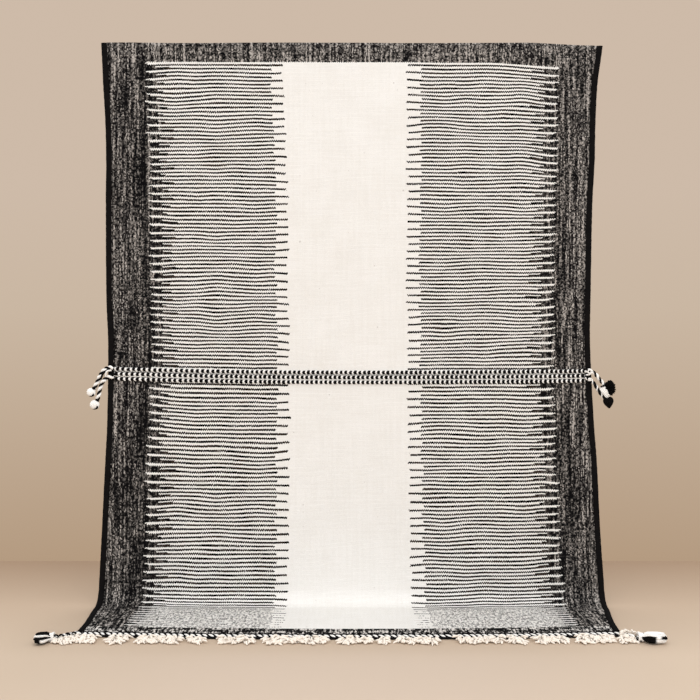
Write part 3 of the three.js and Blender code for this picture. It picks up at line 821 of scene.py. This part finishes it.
def edge_cord(side, material):
    """Black yarn wound closely round a bundle of warps."""
    share, inward = (0.0, 1) if side == "left" else (1.0, -1)
    loop = cord_section()
    rows = np.linspace(0, 1, int(down_at(share, 1.0) / (WRAP_PITCH / 4)))
    down = down_at(share, rows)[:, None]
    turn = np.arange(CORD_SIDES) / CORD_SIDES
    wobble = 0.25 * soft_noise(down / 0.02, down * 0, 41)
    wraps = np.abs(np.sin(math.pi * (down / WRAP_PITCH + 0.8 * turn + wobble)))
    relief = 0.0009 * wraps - 0.0006 + 0.0004 * soft_noise(down / 0.013, down * 0 + 7, 43)
    place = loop + unit(loop - loop.mean(0)) * relief[..., None]
    points = cloth_point(outer_edge(side, down) + inward * place[..., 0], down, place[..., 1])
    # Where it lies on the floor its underside is flat
    points[..., 2] = np.maximum(points[..., 2], -FLOOR_DROP)
    faces = tube_faces(len(rows), CORD_SIDES)
    if side == "right":
        faces = [face[::-1] for face in faces]
    piece = new_object(f"wound_edge_{side}", points.reshape(-1, 3), faces)
    point_attribute(piece, "wraps", "FLOAT", wraps)
    return finish_piece(piece, material, f"edge_cord_{side}")


# The twined rows

STITCH_PITCH = 0.01705
# Stitches are looser in the left third
LOOSE_PITCH = 1.13
ROW_SHIFTS = [0.32, 0.0, 0.03]
STITCH_REACH = 0.0064
STITCHES = [
    {"tone": 1.0, "height": 0.0054, "radius": 0.0044, "lift": 0.0024, "narrow": 0.50},
    {"tone": 0.0, "height": 0.0046, "radius": 0.0063, "lift": 0.0030, "narrow": 0.62},
]
PLY_PITCH = 0.0105


def stitch_places():
    """Places across the rug, from edge to edge, half a stitch pair apart."""
    places = [-HALF_WIDTH + 0.006]
    while places[-1] < HALF_WIDTH - 0.030:
        loose = 1 + (LOOSE_PITCH - 1) * (1 - float(smoothstep(places[-1], -0.60, -0.30)))
        places.append(places[-1] + STITCH_PITCH / 2 * loose)
    return places


def chevron_stitches(yarns, face):
    """Three rows of twined stitches. Each is a short yarn bent to a point that faces left."""
    inner = float(between_cords(0.0, twining_down(-HALF_WIDTH), 0.006))
    outer = float(between_cords(1.0, twining_down(HALF_WIDTH), 0.006))
    t = np.linspace(-1, 1, 9)
    for row in range(TWINING_ROWS):
        for i, place in enumerate(stitch_places()):
            stitch = STITCHES[i % 2]
            place = place + STITCH_PITCH * (ROW_SHIFTS[row] + jitter(0.05))
            height = stitch["height"] * (1 + jitter(0.12))
            radius = stitch["radius"] * (1 + jitter(0.10))
            reach = STITCH_REACH * (1 + jitter(0.20))
            shift = jitter(0.0007)
            if not inner < place < outer:
                continue
            across = place + reach * (np.abs(t) ** 1.3 - 0.4)
            down = twining_down(across) + row_offset(row + 0.5) + height * t + shift
            lift = CLOTH_THICKNESS / 2 + 0.0014 + stitch["lift"] * (1 - t**2)
            size = radius * (1 - stitch["narrow"] * np.abs(t) ** 1.8)
            path = cloth_point(across, down, face * lift)
            yarns.add(path, size, stitch["tone"], sides=8, flatness=0.55, normals=face * cloth_normal(down))


def row_offset(row):
    """How far below the middle of the twining a row starts."""
    return row * TWINING_WIDTH / TWINING_ROWS - TWINING_WIDTH / 2


def along_twining(row, count):
    """Places from cord to cord along a row's start."""
    share = np.linspace(0, 1, count)
    down = twining_down(-HALF_WIDTH + 2 * HALF_WIDTH * share) + row_offset(row)
    return between_cords(share, down, 0.003), down


def divider_cords(yarns, face):
    """A thin two-ply cord between the twined rows: grey below the first row, cream below the second. Its grey
    plies are painted shade, standing for the shadow in the gap between the rows.
    """
    for row, tones in ((1, (0.80, 0.30)), (2, (1.0, 0.90))):
        across, down = along_twining(row, 760)
        wave = 0.0008 * np.sin(across / STITCH_PITCH * 2 * math.pi)
        for ply, tone in enumerate(tones):
            turn = across / PLY_PITCH * 2 * math.pi + ply * math.pi
            lift = CLOTH_THICKNESS / 2 + 0.0026 + 0.0010 * np.cos(turn)
            path = cloth_point(across, down + wave + 0.0009 * np.sin(turn), face * lift)
            yarns.add(path, 0.0012, tone, sides=5)


def backing_strip(yarns, face):
    """The ground under the stitches, hidden but for small gaps."""
    for row in range(TWINING_ROWS):
        across, down = along_twining(row + 0.5, 180)
        path = cloth_point(across, down, face * (CLOTH_THICKNESS / 2 + 0.0008))
        # Its tone of 0.7 is the cream ground darkened as painted shade, for the gaps where it shows between
        # stitches
        yarns.add(path, 0.0052, 0.7, sides=8, flatness=0.26, normals=face * cloth_normal(down))


def middle_twining(face, material):
    side = "front" if face > 0 else "back"
    yarns = Yarns()
    backing_strip(yarns, face)
    chevron_stitches(yarns, face)
    divider_cords(yarns, face)
    return yarns.finish(f"twined_rows_{side}", material, "twined_wool", f"middle_twining_{side}")


# The end twining and its fringe

CORNER_ACROSS = {"left": 0.912, "right": 0.902}
STRIP_ENDS = {"left": 0.972, "right": 0.946}
STRIP_END_FORWARD = {"left": 0.519, "right": 0.520}
STRIP_END_WIDTH = 0.55
STRIP_END_HEIGHT = 2.0

# Runs of fringe tufts along the lower end: start and end in millimetres, and how many tufts
TUFT_RUNS = [
    (-972, -826, 6), (-780, -726, 2), (-706, -548, 5), (-529, -471, 2), (-432, -310, 3),
    (-284, -74, 6), (-39, 71, 3), (84, 126, 1), (148, 294, 4), (345, 500, 4),
    (516, 574, 2), (600, 713, 3), (739, 864, 4), (872, 938, 2),
]


def strip_place(across):
    """Back edge, width and height of the end twining. Past the corners it turns outward and forward."""
    across = np.asarray(across, float)
    corner = by_side(across, CORNER_ACROSS)
    beyond = np.clip((np.abs(across) - corner) / (by_side(across, STRIP_ENDS) - corner), 0, 1)
    inner = END_FORWARD - (CLOTH_LENGTH - lower_edge(across)) + SEAM_GAP
    back = inner + (by_side(across, STRIP_END_FORWARD) - inner) * beyond**1.3
    width = TWINING_WIDTH * (1 + (STRIP_END_WIDTH - 1) * beyond)
    height = 1 + (STRIP_END_HEIGHT - 1) * beyond
    return back, width, height


def strip_point(across, share, lift):
    """A point on the end twining: share is the way over its width, lift is above the floor."""
    across, share, lift = np.broadcast_arrays(*(np.asarray(x, float) for x in (across, share, lift)))
    back, width, height = strip_place(across)
    return np.stack([across, -back - share * width, -FLOOR_DROP + lift * height], -1)


# The middle row carries the cream strokes that show. Past the corners the outer rows are cream as well.
END_ROWS = [
    {"share": 0.15, "radius": 0.0044, "rise": 0.0006, "lean": -1, "cream": False},
    {"share": 0.52, "radius": 0.0052, "rise": 0.0030, "lean": 1, "cream": True},
    {"share": 0.86, "radius": 0.0044, "rise": 0.0004, "lean": 1, "cream": False},
]
STROKE_PITCH = 0.0202
STROKE_SLANT = 0.0092
# Strokes that cross the cord beyond the left corner, across and forward
CORNER_MARKS = [(-0.958, 0.522), (-0.943, 0.516), (-0.926, 0.500), (-0.908, 0.490), (-0.886, 0.474)]
UP = np.array([0.0, 0.0, 1.0])


def end_stitches(yarns):
    """Slanting stitches in three rows: cream strokes stand high in the middle, between two low black rows."""
    start, end = -STRIP_ENDS["left"] + 0.004, STRIP_ENDS["right"] - 0.004
    count = int(round((end - start) / STROKE_PITCH)) * 2
    t = np.linspace(-1, 1, 7)
    for row in END_ROWS:
        for i in range(count):
            place = start + (end - start) * (i + 0.5) / count
            past_corner = place < -CORNER_ACROSS["left"] or place > CORNER_ACROSS["right"]
            first = i % 2 == 0
            cream = first and (row["cream"] or past_corner)
            thin = not cream and (first or row["cream"])
            slant = STROKE_SLANT * (1 + jitter(0.15)) * row["lean"]
            radius = row["radius"] * (0.72 if thin else 1.0) * (1 + jitter(0.07))
            lift = 0.0030 + (row["rise"] + 0.0003 * cream) * (1 - t**2)
            path = strip_point(place + slant * t, row["share"] + 0.17 * t, lift)
            yarns.add(path, radius * (1 - 0.3 * t**4), float(cream), sides=8, flatness=0.62, normals=UP)


def corner_marks(yarns):
    """Short black yarns that cross the cord beyond the left corner."""
    for across, forward in CORNER_MARKS:
        top = np.array([across, -forward - 0.005, -FLOOR_DROP + 0.020])
        line = [top + (-0.007, 0.005, -0.004), top, top + (0.008, -0.004, -0.004)]
        yarns.bent(line, 7, 0.0030, 0.0, 7)


def end_core(yarns):
    """The ground under the stitches, flat on the floor."""
    across = np.linspace(-STRIP_ENDS["left"] + 0.002, STRIP_ENDS["right"] - 0.002, 220)
    radius = np.interp(strip_place(across)[1], [0, TWINING_WIDTH], [0, 0.0098])
    for row in range(TWINING_ROWS):
        path = strip_point(across, (row + 0.5) / TWINING_ROWS, 0.0027)
        yarns.add(path, radius, 0.0, sides=8, flatness=0.26, normals=UP)


LOBES_PER_TUFT = 22
CORNER_LOBES = 34
CORNER_LOBE_LENGTH = 0.015
CORNER_LOBE_RADIUS = 0.0036
LOBE_RADIUS = 0.0035
TUFT_TIP = 0.590
TUFT_INSET = 5 * MM
# Steps that spread things evenly over a length, and over a circle
GOLDEN_SHARE = 0.618
GOLDEN_ANGLE = 2.39996


def soft_lobe(yarns, root, heading, bend, length, radius, drop):
    """A short thick lock with a round end, bent sideways. Heading 0 is forward, height 0 is the floor."""
    t = np.linspace(0, 1, 8)
    turned = heading + bend * (t - 0.3)
    step = length * np.gradient(t)
    round_end = np.sqrt(np.clip(1 - (np.maximum(t - 0.62, 0) / 0.4) ** 2, 0.1, 1))
    size = radius * (0.82 + 0.18 * np.sin(math.pi * t)) * round_end
    height = np.maximum(root[2] - drop * t**1.5 + 0.0012 * np.sin(math.pi * t), size + 0.0002)
    forward = np.cumsum(np.cos(turned) * step)
    path = np.stack([root[0] + np.cumsum(np.sin(turned) * step), root[1] - forward, height - FLOOR_DROP], -1)
    yarns.add(path, size, 1.0, sides=7)


def tuft(yarns, centre, pitch, forward, size):
    """A fluffy clump in front of the twining: thick curly locks point every way, the last ones on top."""
    back, width, _ = strip_place(centre)
    first = back + (1.10 if abs(centre) > CORNER_ACROSS["left"] else rng.uniform(0.90, 1.16)) * width
    ground = np.linspace(first, forward - 0.016, 6)
    spread = 0.36 * pitch * np.sin(math.pi * np.linspace(0.25, 0.85, 6))
    path = np.stack([np.full(6, centre), -ground, np.full(6, 0.0034 - FLOOR_DROP)], -1)
    yarns.add(path, spread, 0.9, sides=8, flatness=0.24, normals=UP)
    for k in range(LOBES_PER_TUFT):
        layer = k / (LOBES_PER_TUFT - 1)
        side = jitter(1)
        way = (k * GOLDEN_SHARE) % 1.0
        heading = 1.15 * side + jitter(0.55)
        length = (0.016 + 0.011 * rng.uniform()) * size
        ahead = first + (forward - first - 0.8 * length) * way * (1 - 0.30 * layer)
        heap = 0.35 + 0.65 * math.sin(math.pi * min(0.12 + 0.95 * way, 1.0))
        root = (centre + 0.24 * pitch * side, -ahead, 0.0046 + 0.0125 * layer * size * heap)
        radius = LOBE_RADIUS + jitter(0.0008)
        soft_lobe(yarns, root, heading, jitter(2.2), length, radius, 0.006 * rng.uniform())


def fringe(yarns):
    for start, end, tufts in TUFT_RUNS:
        start, end = start * MM + TUFT_INSET, end * MM - TUFT_INSET
        pitch = (end - start) / tufts
        for i in range(tufts):
            centre = start + (i + 0.5 + jitter(0.10)) * pitch
            forward = TUFT_TIP - 0.020 * rng.uniform()
            size = (0.75 + 0.50 * rng.uniform()) * (0.65 if abs(centre) > CORNER_ACROSS["right"] else 1.0)
            tuft(yarns, centre, min(pitch, 0.040), forward, size)


def corner_tuft(yarns):
    """The raised tuft that lies along the cord at the right corner."""
    for k in range(CORNER_LOBES):
        turn = k * GOLDEN_ANGLE
        along, layer = (k * GOLDEN_SHARE) % 1.0, k / (CORNER_LOBES - 1)
        away = 0.011 * (1 - 0.5 * layer)
        across = 0.902 + 0.052 * along + away * math.sin(turn)
        depth = -0.462 - 0.034 * along - away * math.cos(turn)
        height = 0.006 + 0.012 * layer * math.sin(math.pi * (0.2 + 0.7 * along))
        root, drop = (across, depth, height), 0.005 * (1 - layer)
        soft_lobe(yarns, root, turn, jitter(1.6), CORNER_LOBE_LENGTH, CORNER_LOBE_RADIUS, drop)


def end_twining(stitch_material, fringe_material):
    rows, tufts = Yarns(), Yarns()
    for add in (end_core, end_stitches, corner_marks):
        add(rows)
    for add in (fringe, corner_tuft):
        add(tufts)
    return [
        rows.finish("end_twined_rows", stitch_material, "twined_wool", "end_twining"),
        tufts.finish("fringe_tufts", fringe_material, "cream_wool", "end_twining"),
    ]


# The tassels

# Cords run through places across, up and above the cloth's middle in millimetres, and on towards the head
SIDE_TASSELS = [
    {
        "name": "tassel_left_upper", "shape": "bulb", "turn": 2.2, "plies": [0.0052, 0.0042],
        "cord": [(-862, -1180, 12.8), (-881, -1180, 13), (-898, -1191, 13), (-911, -1211, 11),
                 (-921, -1233, 10), (-933, -1255, 10)],
        "head": (-943, -1269), "wide": 15, "tall": 14,
    },
    {
        "name": "tassel_left_lower", "shape": "bulb", "turn": 0.6, "plies": [0.0052, 0.0042],
        "cord": [(-862, -1211, 12.8), (-882, -1215, 13), (-900, -1230, 12), (-910, -1253, 10),
                 (-915, -1277, 10), (-921, -1298, 10)],
        "head": (-930, -1314), "wide": 16.5, "tall": 16,
    },
    {
        "name": "tassel_right_upper", "shape": "pompom", "turn": 1.2, "plies": [0.0045, 0.0034],
        "cord": [(856, -1190, 12.4), (874, -1190, 12.2), (892, -1201, 13), (909, -1221, 11),
                 (925, -1239, 10)],
        "head": (946, -1254), "wide": 18.5, "tall": 25,
    },
    {
        "name": "tassel_right_lower", "shape": "drop", "turn": 0.0, "plies": [0.0023, 0.0050],
        "cord": [(856, -1215, 12.4), (874, -1222, 12), (890, -1238, 12), (903, -1258, 10),
                 (914, -1274, 10), (928, -1291, 10)],
        "head": (942, -1307), "wide": 17, "tall": 17,
    },
]
HEAD_LIFT = 12
# From the middle of the black drop to its top, which hangs nearly straight
DROP_TOP = (-0.003, 0.0, 0.020)
CORD_TWIST = 0.030
CORD_ROUND = 0.0072
CORD_STEP = 0.0022
BULB_STRANDS = 15
DROP_STRANDS = 110
POMPOM_STRANDS = 300
BRUSH_STRANDS = 22
THIN_YARN = 0.0019


def hanging_point(across, up, lift):
    return cloth_point(across * MM, -up * MM, lift * MM)


def hanging_yarn(yarns, places, count, radius, tone, sides=8):
    yarns.bent([hanging_point(*place) for place in places], count, radius, tone, sides)


def twisted_cord(yarns, route, plies, turn):
    """Two plies, one cream and one black, turned round each other."""
    path = smooth_path(route, max(int(distance_along(route)[-1] / CORD_STEP), 12))
    tangent = unit(np.gradient(path, axis=0))
    normal = carried_normals(tangent)
    sideways = np.cross(tangent, normal)
    for ply, radius in enumerate(plies):
        angle = (distance_along(path) / CORD_TWIST * 2 * math.pi + ply * math.pi + turn)[:, None]
        line = path + CORD_ROUND * (1 - radius / sum(plies)) * circle(angle, normal, sideways)
        yarns.add(line, radius, 1.0 - ply, sides=9)


def head_axes(start, centre):
    """The way a head points, and its sideways and forward directions."""
    axis = unit(centre - start)
    sideways = unit(np.cross(axis, (0.0, -1.0, 0.0)))
    return axis, sideways, np.cross(sideways, axis)


def bulb_head(yarns, start, centre, wide, tall):
    """A knot of thick cream yarn folded smoothly over, with a few black strands under its lower side."""
    axis, sideways, front = head_axes(start, centre)

    def meridian(angle, begin, scale, radius, tone, skew=0.0):
        t = np.linspace(begin * math.pi, 0.97 * math.pi, 12)[:, None]
        out = circle(angle + skew * (t - math.pi / 2), sideways * wide, front * wide * 0.8)
        yarns.add(centre + scale * circle(t, -axis * tall, out), radius, tone, sides=7)

    for k in range(BULB_STRANDS):
        meridian(k * 2 * math.pi / BULB_STRANDS, 0.02, 0.86, 0.0034, 1.0, skew=0.35)
    for k in range(7):
        meridian(math.pi + (k - 4.5) * 0.17, 0.46 + 0.03 * k, 1.0, THIN_YARN, 0.0)
    # The black knot at the neck
    angle = np.linspace(0, 2 * math.pi, 15)[:, None]
    for k in range(3):
        knot = centre - axis * (tall * 0.98 + 0.0024 * k)
        yarns.add(knot + 0.0058 * circle(angle, sideways, front), THIN_YARN, 0.0, sides=6)


def drop_head(yarns, start, centre, wide, tall):
    """A teardrop of black yarn ends, wide near its top and drawn to a blunt tip."""
    axis, sideways, front = head_axes(start, centre)
    t = np.linspace(0, 1, 9)[:, None]
    swell = np.sin(math.pi * (0.14 + 0.80 * t**0.8)) ** 0.7
    for k in range(DROP_STRANDS):
        radius = math.sqrt((k + 0.5) / DROP_STRANDS)
        out = circle(k * GOLDEN_ANGLE, sideways, 0.8 * front)
        path = centre - axis * tall * 1.15 + axis * tall * (2.35 - 0.35 * radius + jitter(0.06)) * t
        path = path + out * radius * wide * 1.05 * swell
        yarns.add(path, THIN_YARN, 1.0 if k == DROP_STRANDS - 1 else 0.0, sides=5)


def pompom_head(yarns, centre, wide, tall):
    """Cut black yarn ends standing out all round a knot, ragged at the outer side."""
    t = np.linspace(0.15, 1, 5)[:, None]
    for k in range(POMPOM_STRANDS):
        up = 1 - 2 * (k + 0.5) / POMPOM_STRANDS
        angle = k * GOLDEN_ANGLE
        flat = math.sqrt(1 - up * up)
        direction = np.array([flat * math.cos(angle), 0.82 * flat * math.sin(angle), up])
        ragged = 0.10 + 0.12 * max(direction[0], 0)
        reach = np.array([wide, wide, tall]) * (1.10 + jitter(ragged))
        bend = rng.normal(0, 0.0012, 3) * t**2
        yarns.add(centre + direction * reach * t + bend, THIN_YARN * (1.0 - 0.15 * t[:, 0]), 0.0, sides=5)


def white_brush(yarns):
    """The cream strands that lie along the pompom's inner side and split at their ends."""
    for k in range(BRUSH_STRANDS):
        spread, depth = jitter(1), rng.uniform(0, 1)
        early, late = jitter(4), jitter(6)
        places = [
            (917 + 7 * spread + early, -1250 + 6 * spread - early, 14 + 3 * depth),
            (926 + 7 * spread, -1265 + 6 * spread, 19 + 5 * depth),
            (937 + 5 * spread + late, -1280 + 8 * spread - late, 18 + 4 * depth),
        ]
        hanging_yarn(yarns, places, 9, 0.0024, 1.0, sides=6)
    # A black tie round their tops
    hanging_yarn(yarns, [(912, -1249, 19), (921, -1245, 22), (930, -1240, 20)], 9, 0.0030, 0.0, sides=7)


def selvedge_loops(yarns):
    """Cream loops over the right edge cord, where the middle twining is knotted off."""
    angle = np.linspace(0, 2 * math.pi, 22)[:, None]
    ring = 0.0070 * circle(angle, np.array([1, 0, 0]), 0.95 * UP)
    yarns.add(hanging_point(873, -1193, 17) + ring, 0.0031, 1.0, sides=8)
    hanging_yarn(yarns, [(860, -1206, 9), (872, -1204, 14), (880, -1199, 15)], 9, 0.0028, 1.0)
    knob = hanging_point(873, -1222, 15) + np.array([[-0.006, 0.001, 0], [0, -0.001, 0], [0.006, 0.001, 0]])
    for k in range(3):
        yarns.add(knob + np.array([0, -0.001 * k, 0.0032 * (k - 1)]), 0.0030, 1.0, sides=8)


def crossing_yarns(yarns):
    """Loose ends that cross between the two cords at the left edge."""
    hanging_yarn(yarns, [(-876, -1184, 15), (-896, -1198, 19), (-908, -1222, 14)], 11, 0.0040, 0.0)
    hanging_yarn(yarns, [(-868, -1188, 14), (-884, -1193, 21), (-890, -1212, 16)], 11, 0.0032, 1.0)


def side_tassel(tassel, material):
    yarns = Yarns()
    points = [hanging_point(*place) for place in tassel["cord"]]
    centre = hanging_point(*tassel["head"], HEAD_LIFT)
    size = (tassel["wide"] * MM, tassel["tall"] * MM)
    route = np.array([*points, points[-1] + 0.4 * (centre - points[-1])])
    twisted_cord(yarns, route, tassel["plies"], tassel["turn"])
    if tassel["shape"] == "pompom":
        pompom_head(yarns, centre, *size)
        white_brush(yarns)
        selvedge_loops(yarns)
    elif tassel["shape"] == "drop":
        drop_head(yarns, centre + np.array(DROP_TOP), centre, *size)
    else:
        bulb_head(yarns, points[-1], centre, *size)
    if tassel["name"] == "tassel_left_lower":
        crossing_yarns(yarns)
    return yarns.finish(tassel["name"] + "_yarn", material, "twined_wool", tassel["name"])


END_TASSELS = [
    {"side": "left", "neck": 0.9723, "tip": 1.022, "forward": 0.560, "wide": 0.028},
    {"side": "right", "neck": 0.9463, "tip": 1.028, "forward": 0.556, "wide": 0.023},
]
END_TASSEL_TALL = 0.0165
END_NECK_FORWARD = 0.536
END_STRANDS = 84
END_STRAND_RADIUS = 0.0023


def left_tones(high, along):
    """Black and cream strands in bands from the lower front, 0, to the upper back, 1."""
    inner_cream = np.where(along < 0.62, 1.0, 0.0)
    bands = [(0.14, 0.0), (0.40, inner_cream), (0.55, 0.0), (0.74, 1.0), (0.96, 0.0), (2.0, 1.0)]
    return next(tone for limit, tone in bands if high < limit)


def right_tones(high, along):
    """Cream above and at the ends, black below, with a few black tips."""
    tip = 0.0 if 0.35 < high < 0.62 else 1.0
    inner = 1.0 if high > 0.52 else np.where(along < 0.62, 0.0, 1.0)
    return np.where(along > 0.88, tip, inner)


def end_tassel(tassel, material):
    """A bundle of yarn ends that lies on the floor beyond the corner, bound at its neck."""
    yarns = Yarns()
    side, tones = (-1, left_tones) if tassel["side"] == "left" else (1, right_tones)
    reach = tassel["tip"] - tassel["neck"]
    base = np.array([side * tassel["neck"], -END_NECK_FORWARD, -FLOOR_DROP])
    radius = END_STRAND_RADIUS
    t = np.linspace(0, 1, 10)
    swell = 0.50 + 0.50 * smoothstep(t, 0, 0.35) - 0.10 * smoothstep(t, 0.75, 1.0)
    drift = (tassel["forward"] - END_NECK_FORWARD) * smoothstep(t, 0, 0.5)
    for k in range(END_STRANDS):
        far = math.sqrt((k + 0.5) / END_STRANDS)
        ahead, up = far * math.cos(k * GOLDEN_ANGLE), far * math.sin(k * GOLDEN_ANGLE)
        out = reach * (0.96 + jitter(0.04)) * (1 - 0.16 * far**3) * t
        sway = 0.0013 * np.sin(7 * t + 6 * rng.uniform())
        forward = drift + tassel["wide"] * ahead * swell + sway
        height = 0.0005 + radius + END_TASSEL_TALL * (1 + up * swell) * (0.80 + 0.20 * smoothstep(t, 0, 0.4))
        path = base + np.stack([side * out, -forward, np.maximum(height, radius + 0.0003)], -1)
        # As the eye sees the bundle, half of its height is depth
        high = 0.5 + 0.5 * (0.78 * up - 0.30 * ahead)
        yarns.add(path, radius, tones(high, t), sides=5)
    angle = np.linspace(0, 2 * math.pi, 15)
    for turn in range(-3, 5):
        size = 0.0125 - 0.0006 * min(turn, 0)
        x = np.full_like(angle, side * 0.0030 * (turn + 0.4))
        ring = base + np.stack([x, size * np.cos(angle), radius + size + size * np.sin(angle)], -1)
        yarns.add(ring, 0.0020, 0.0 if turn == 3 else 1.0, sides=6)
    name = f"tassel_end_{tassel['side']}"
    return yarns.finish(name + "_yarn", material, "twined_wool", name)


# Floor and light

WHITE = (1.0, 1.0, 1.0)
FLOOR_COLORS = {
    "darker": (0.505, 0.40, 0.305, 1), "lighter": (0.545, 0.433, 0.332, 1),
    "front": (0.55, 0.445, 0.358, 1), "back": (0.30, 0.207, 0.138, 1),
}
BACKDROP = {
    "bottom": (0.455, 0.325, 0.217, 1), "middle": (0.590, 0.473, 0.365, 1), "top": (0.615, 0.495, 0.395, 1),
}
# How far up from the bottom colour to the top one the middle one is
BACKDROP_MIDDLE = 0.68
WORLD_STRENGTH = (0.80, 1.50)
SOFT_BOXES = {
    "front": {"place": (0.3, -5.4, -1.3), "target": (0, 0, -1.6), "size": (3.4, 1.4), "power": 60},
    "above": {"place": (0, -2.4, 2.2), "target": (0, -0.4, -2.0), "size": (2.2, 1.4), "power": 30},
    "behind": {"place": (1.5, 4.6, 1.2), "target": (0, 0, -1.0), "size": (3.0, 2.4), "power": 60},
}


def make_stage():
    """A pale floor, with painted light in front of the rug and painted shade towards the back. Behind it the
    world shows.
    """
    near, far, side = -6.0, 0.675, 6.0
    corners = [(-side, near), (side, near), (side, far), (-side, far)]
    points = np.array([(*corner, -FLOOR_DROP) for corner in corners])
    floor = new_object("floor", points, [(0, 1, 2, 3)], smooth=False)
    s = Shader("pale_floor", roughness=0.75)
    patch = s.noise(s.place(), scale=1.3, detail=3.0)
    pale = s.mix(patch, FLOOR_COLORS["darker"], FLOOR_COLORS["lighter"])
    # Painted light makes it a little lighter in front of the rug, and painted shade makes it deeper towards
    # the back
    across, depth, _ = s.parts(s.place())
    front = s.scaled(depth, -0.5, -0.8) * s.scaled(s.math("ABSOLUTE", across), 1.2, 0.2)
    pale = s.mix(front, pale, FLOOR_COLORS["front"])
    s.color(s.mix(s.scaled(depth, -0.7, 0.65, kind="LINEAR"), pale, FLOOR_COLORS["back"]))
    floor.data.materials.append(s.material)


def soft_box(side, place, target, size, power):
    name = f"soft_box_{side}"
    data = bpy.data.lights.new(name, "AREA")
    data.shape = "RECTANGLE"
    data.size, data.size_y = size
    data.energy = power
    data.color = WHITE
    light = bpy.data.objects.new(name, data)
    bpy.context.scene.collection.objects.link(light)
    light.location = place
    aim = np.array(target) - np.array(place)
    level = math.hypot(aim[0], aim[1])
    light.rotation_euler = (math.atan2(level, -aim[2]), 0, math.atan2(-aim[0], aim[1]))


def make_light():
    """Soft studio light: an even world and large soft boxes in front, above and behind."""
    world = bpy.data.worlds.new("studio")
    bpy.context.scene.world = world
    world.use_nodes = True
    world.node_tree.nodes.clear()
    s = Nodes(world.node_tree)
    height = s.parts(s.place("Generated"))[2]
    strength = s.scaled(height, 0.0, 1.0, *WORLD_STRENGTH, kind="LINEAR")
    lit = s.node("ShaderNodeBackground", {"Color": (*WHITE, 1), "Strength": strength})
    # The backdrop the camera sees is painted with shade that deepens downwards
    backdrop = s.node("ShaderNodeValToRGB", {0: s.scaled(height, -0.21, 0.09, kind="LINEAR")})
    stops = backdrop.color_ramp.elements
    stops[0].color, stops[1].color = BACKDROP["bottom"], BACKDROP["top"]
    stops.new(BACKDROP_MIDDLE).color = BACKDROP["middle"]
    seen = s.node("ShaderNodeBackground", {"Color": backdrop.outputs[0]})
    camera_ray = s.node("ShaderNodeLightPath").outputs["Is Camera Ray"]
    mixed = s.node("ShaderNodeMixShader", {0: camera_ray, 1: lit.outputs[0], 2: seen.outputs[0]})
    s.node("ShaderNodeOutputWorld", {0: mixed.outputs[0]})
    for side, box in SOFT_BOXES.items():
        soft_box(side, **box)
    bpy.context.scene.view_settings.view_transform = "Standard"


make_camera()
twined_material = yarn_material("twined_wool", 0.006, 2, TWINED_LIGHT, TWINED_DARKER)
fringe_material = yarn_material("cream_wool", 0.009, 3, FRINGE_LIGHT, FRINGE_DARKER, sheen=0.15)
wound = wound_material()
edge_cords = [edge_cord(side, wound) for side in ("left", "right")]
twinings = [middle_twining(face, twined_material) for face in (1, -1)]
end_pieces = end_twining(twined_material, fringe_material)
tassels = [side_tassel(tassel, twined_material) for tassel in SIDE_TASSELS]
tassels += [end_tassel(tassel, twined_material) for tassel in END_TASSELS]
sheet = woven_sheet(woven_material())
make_stage()
make_light()
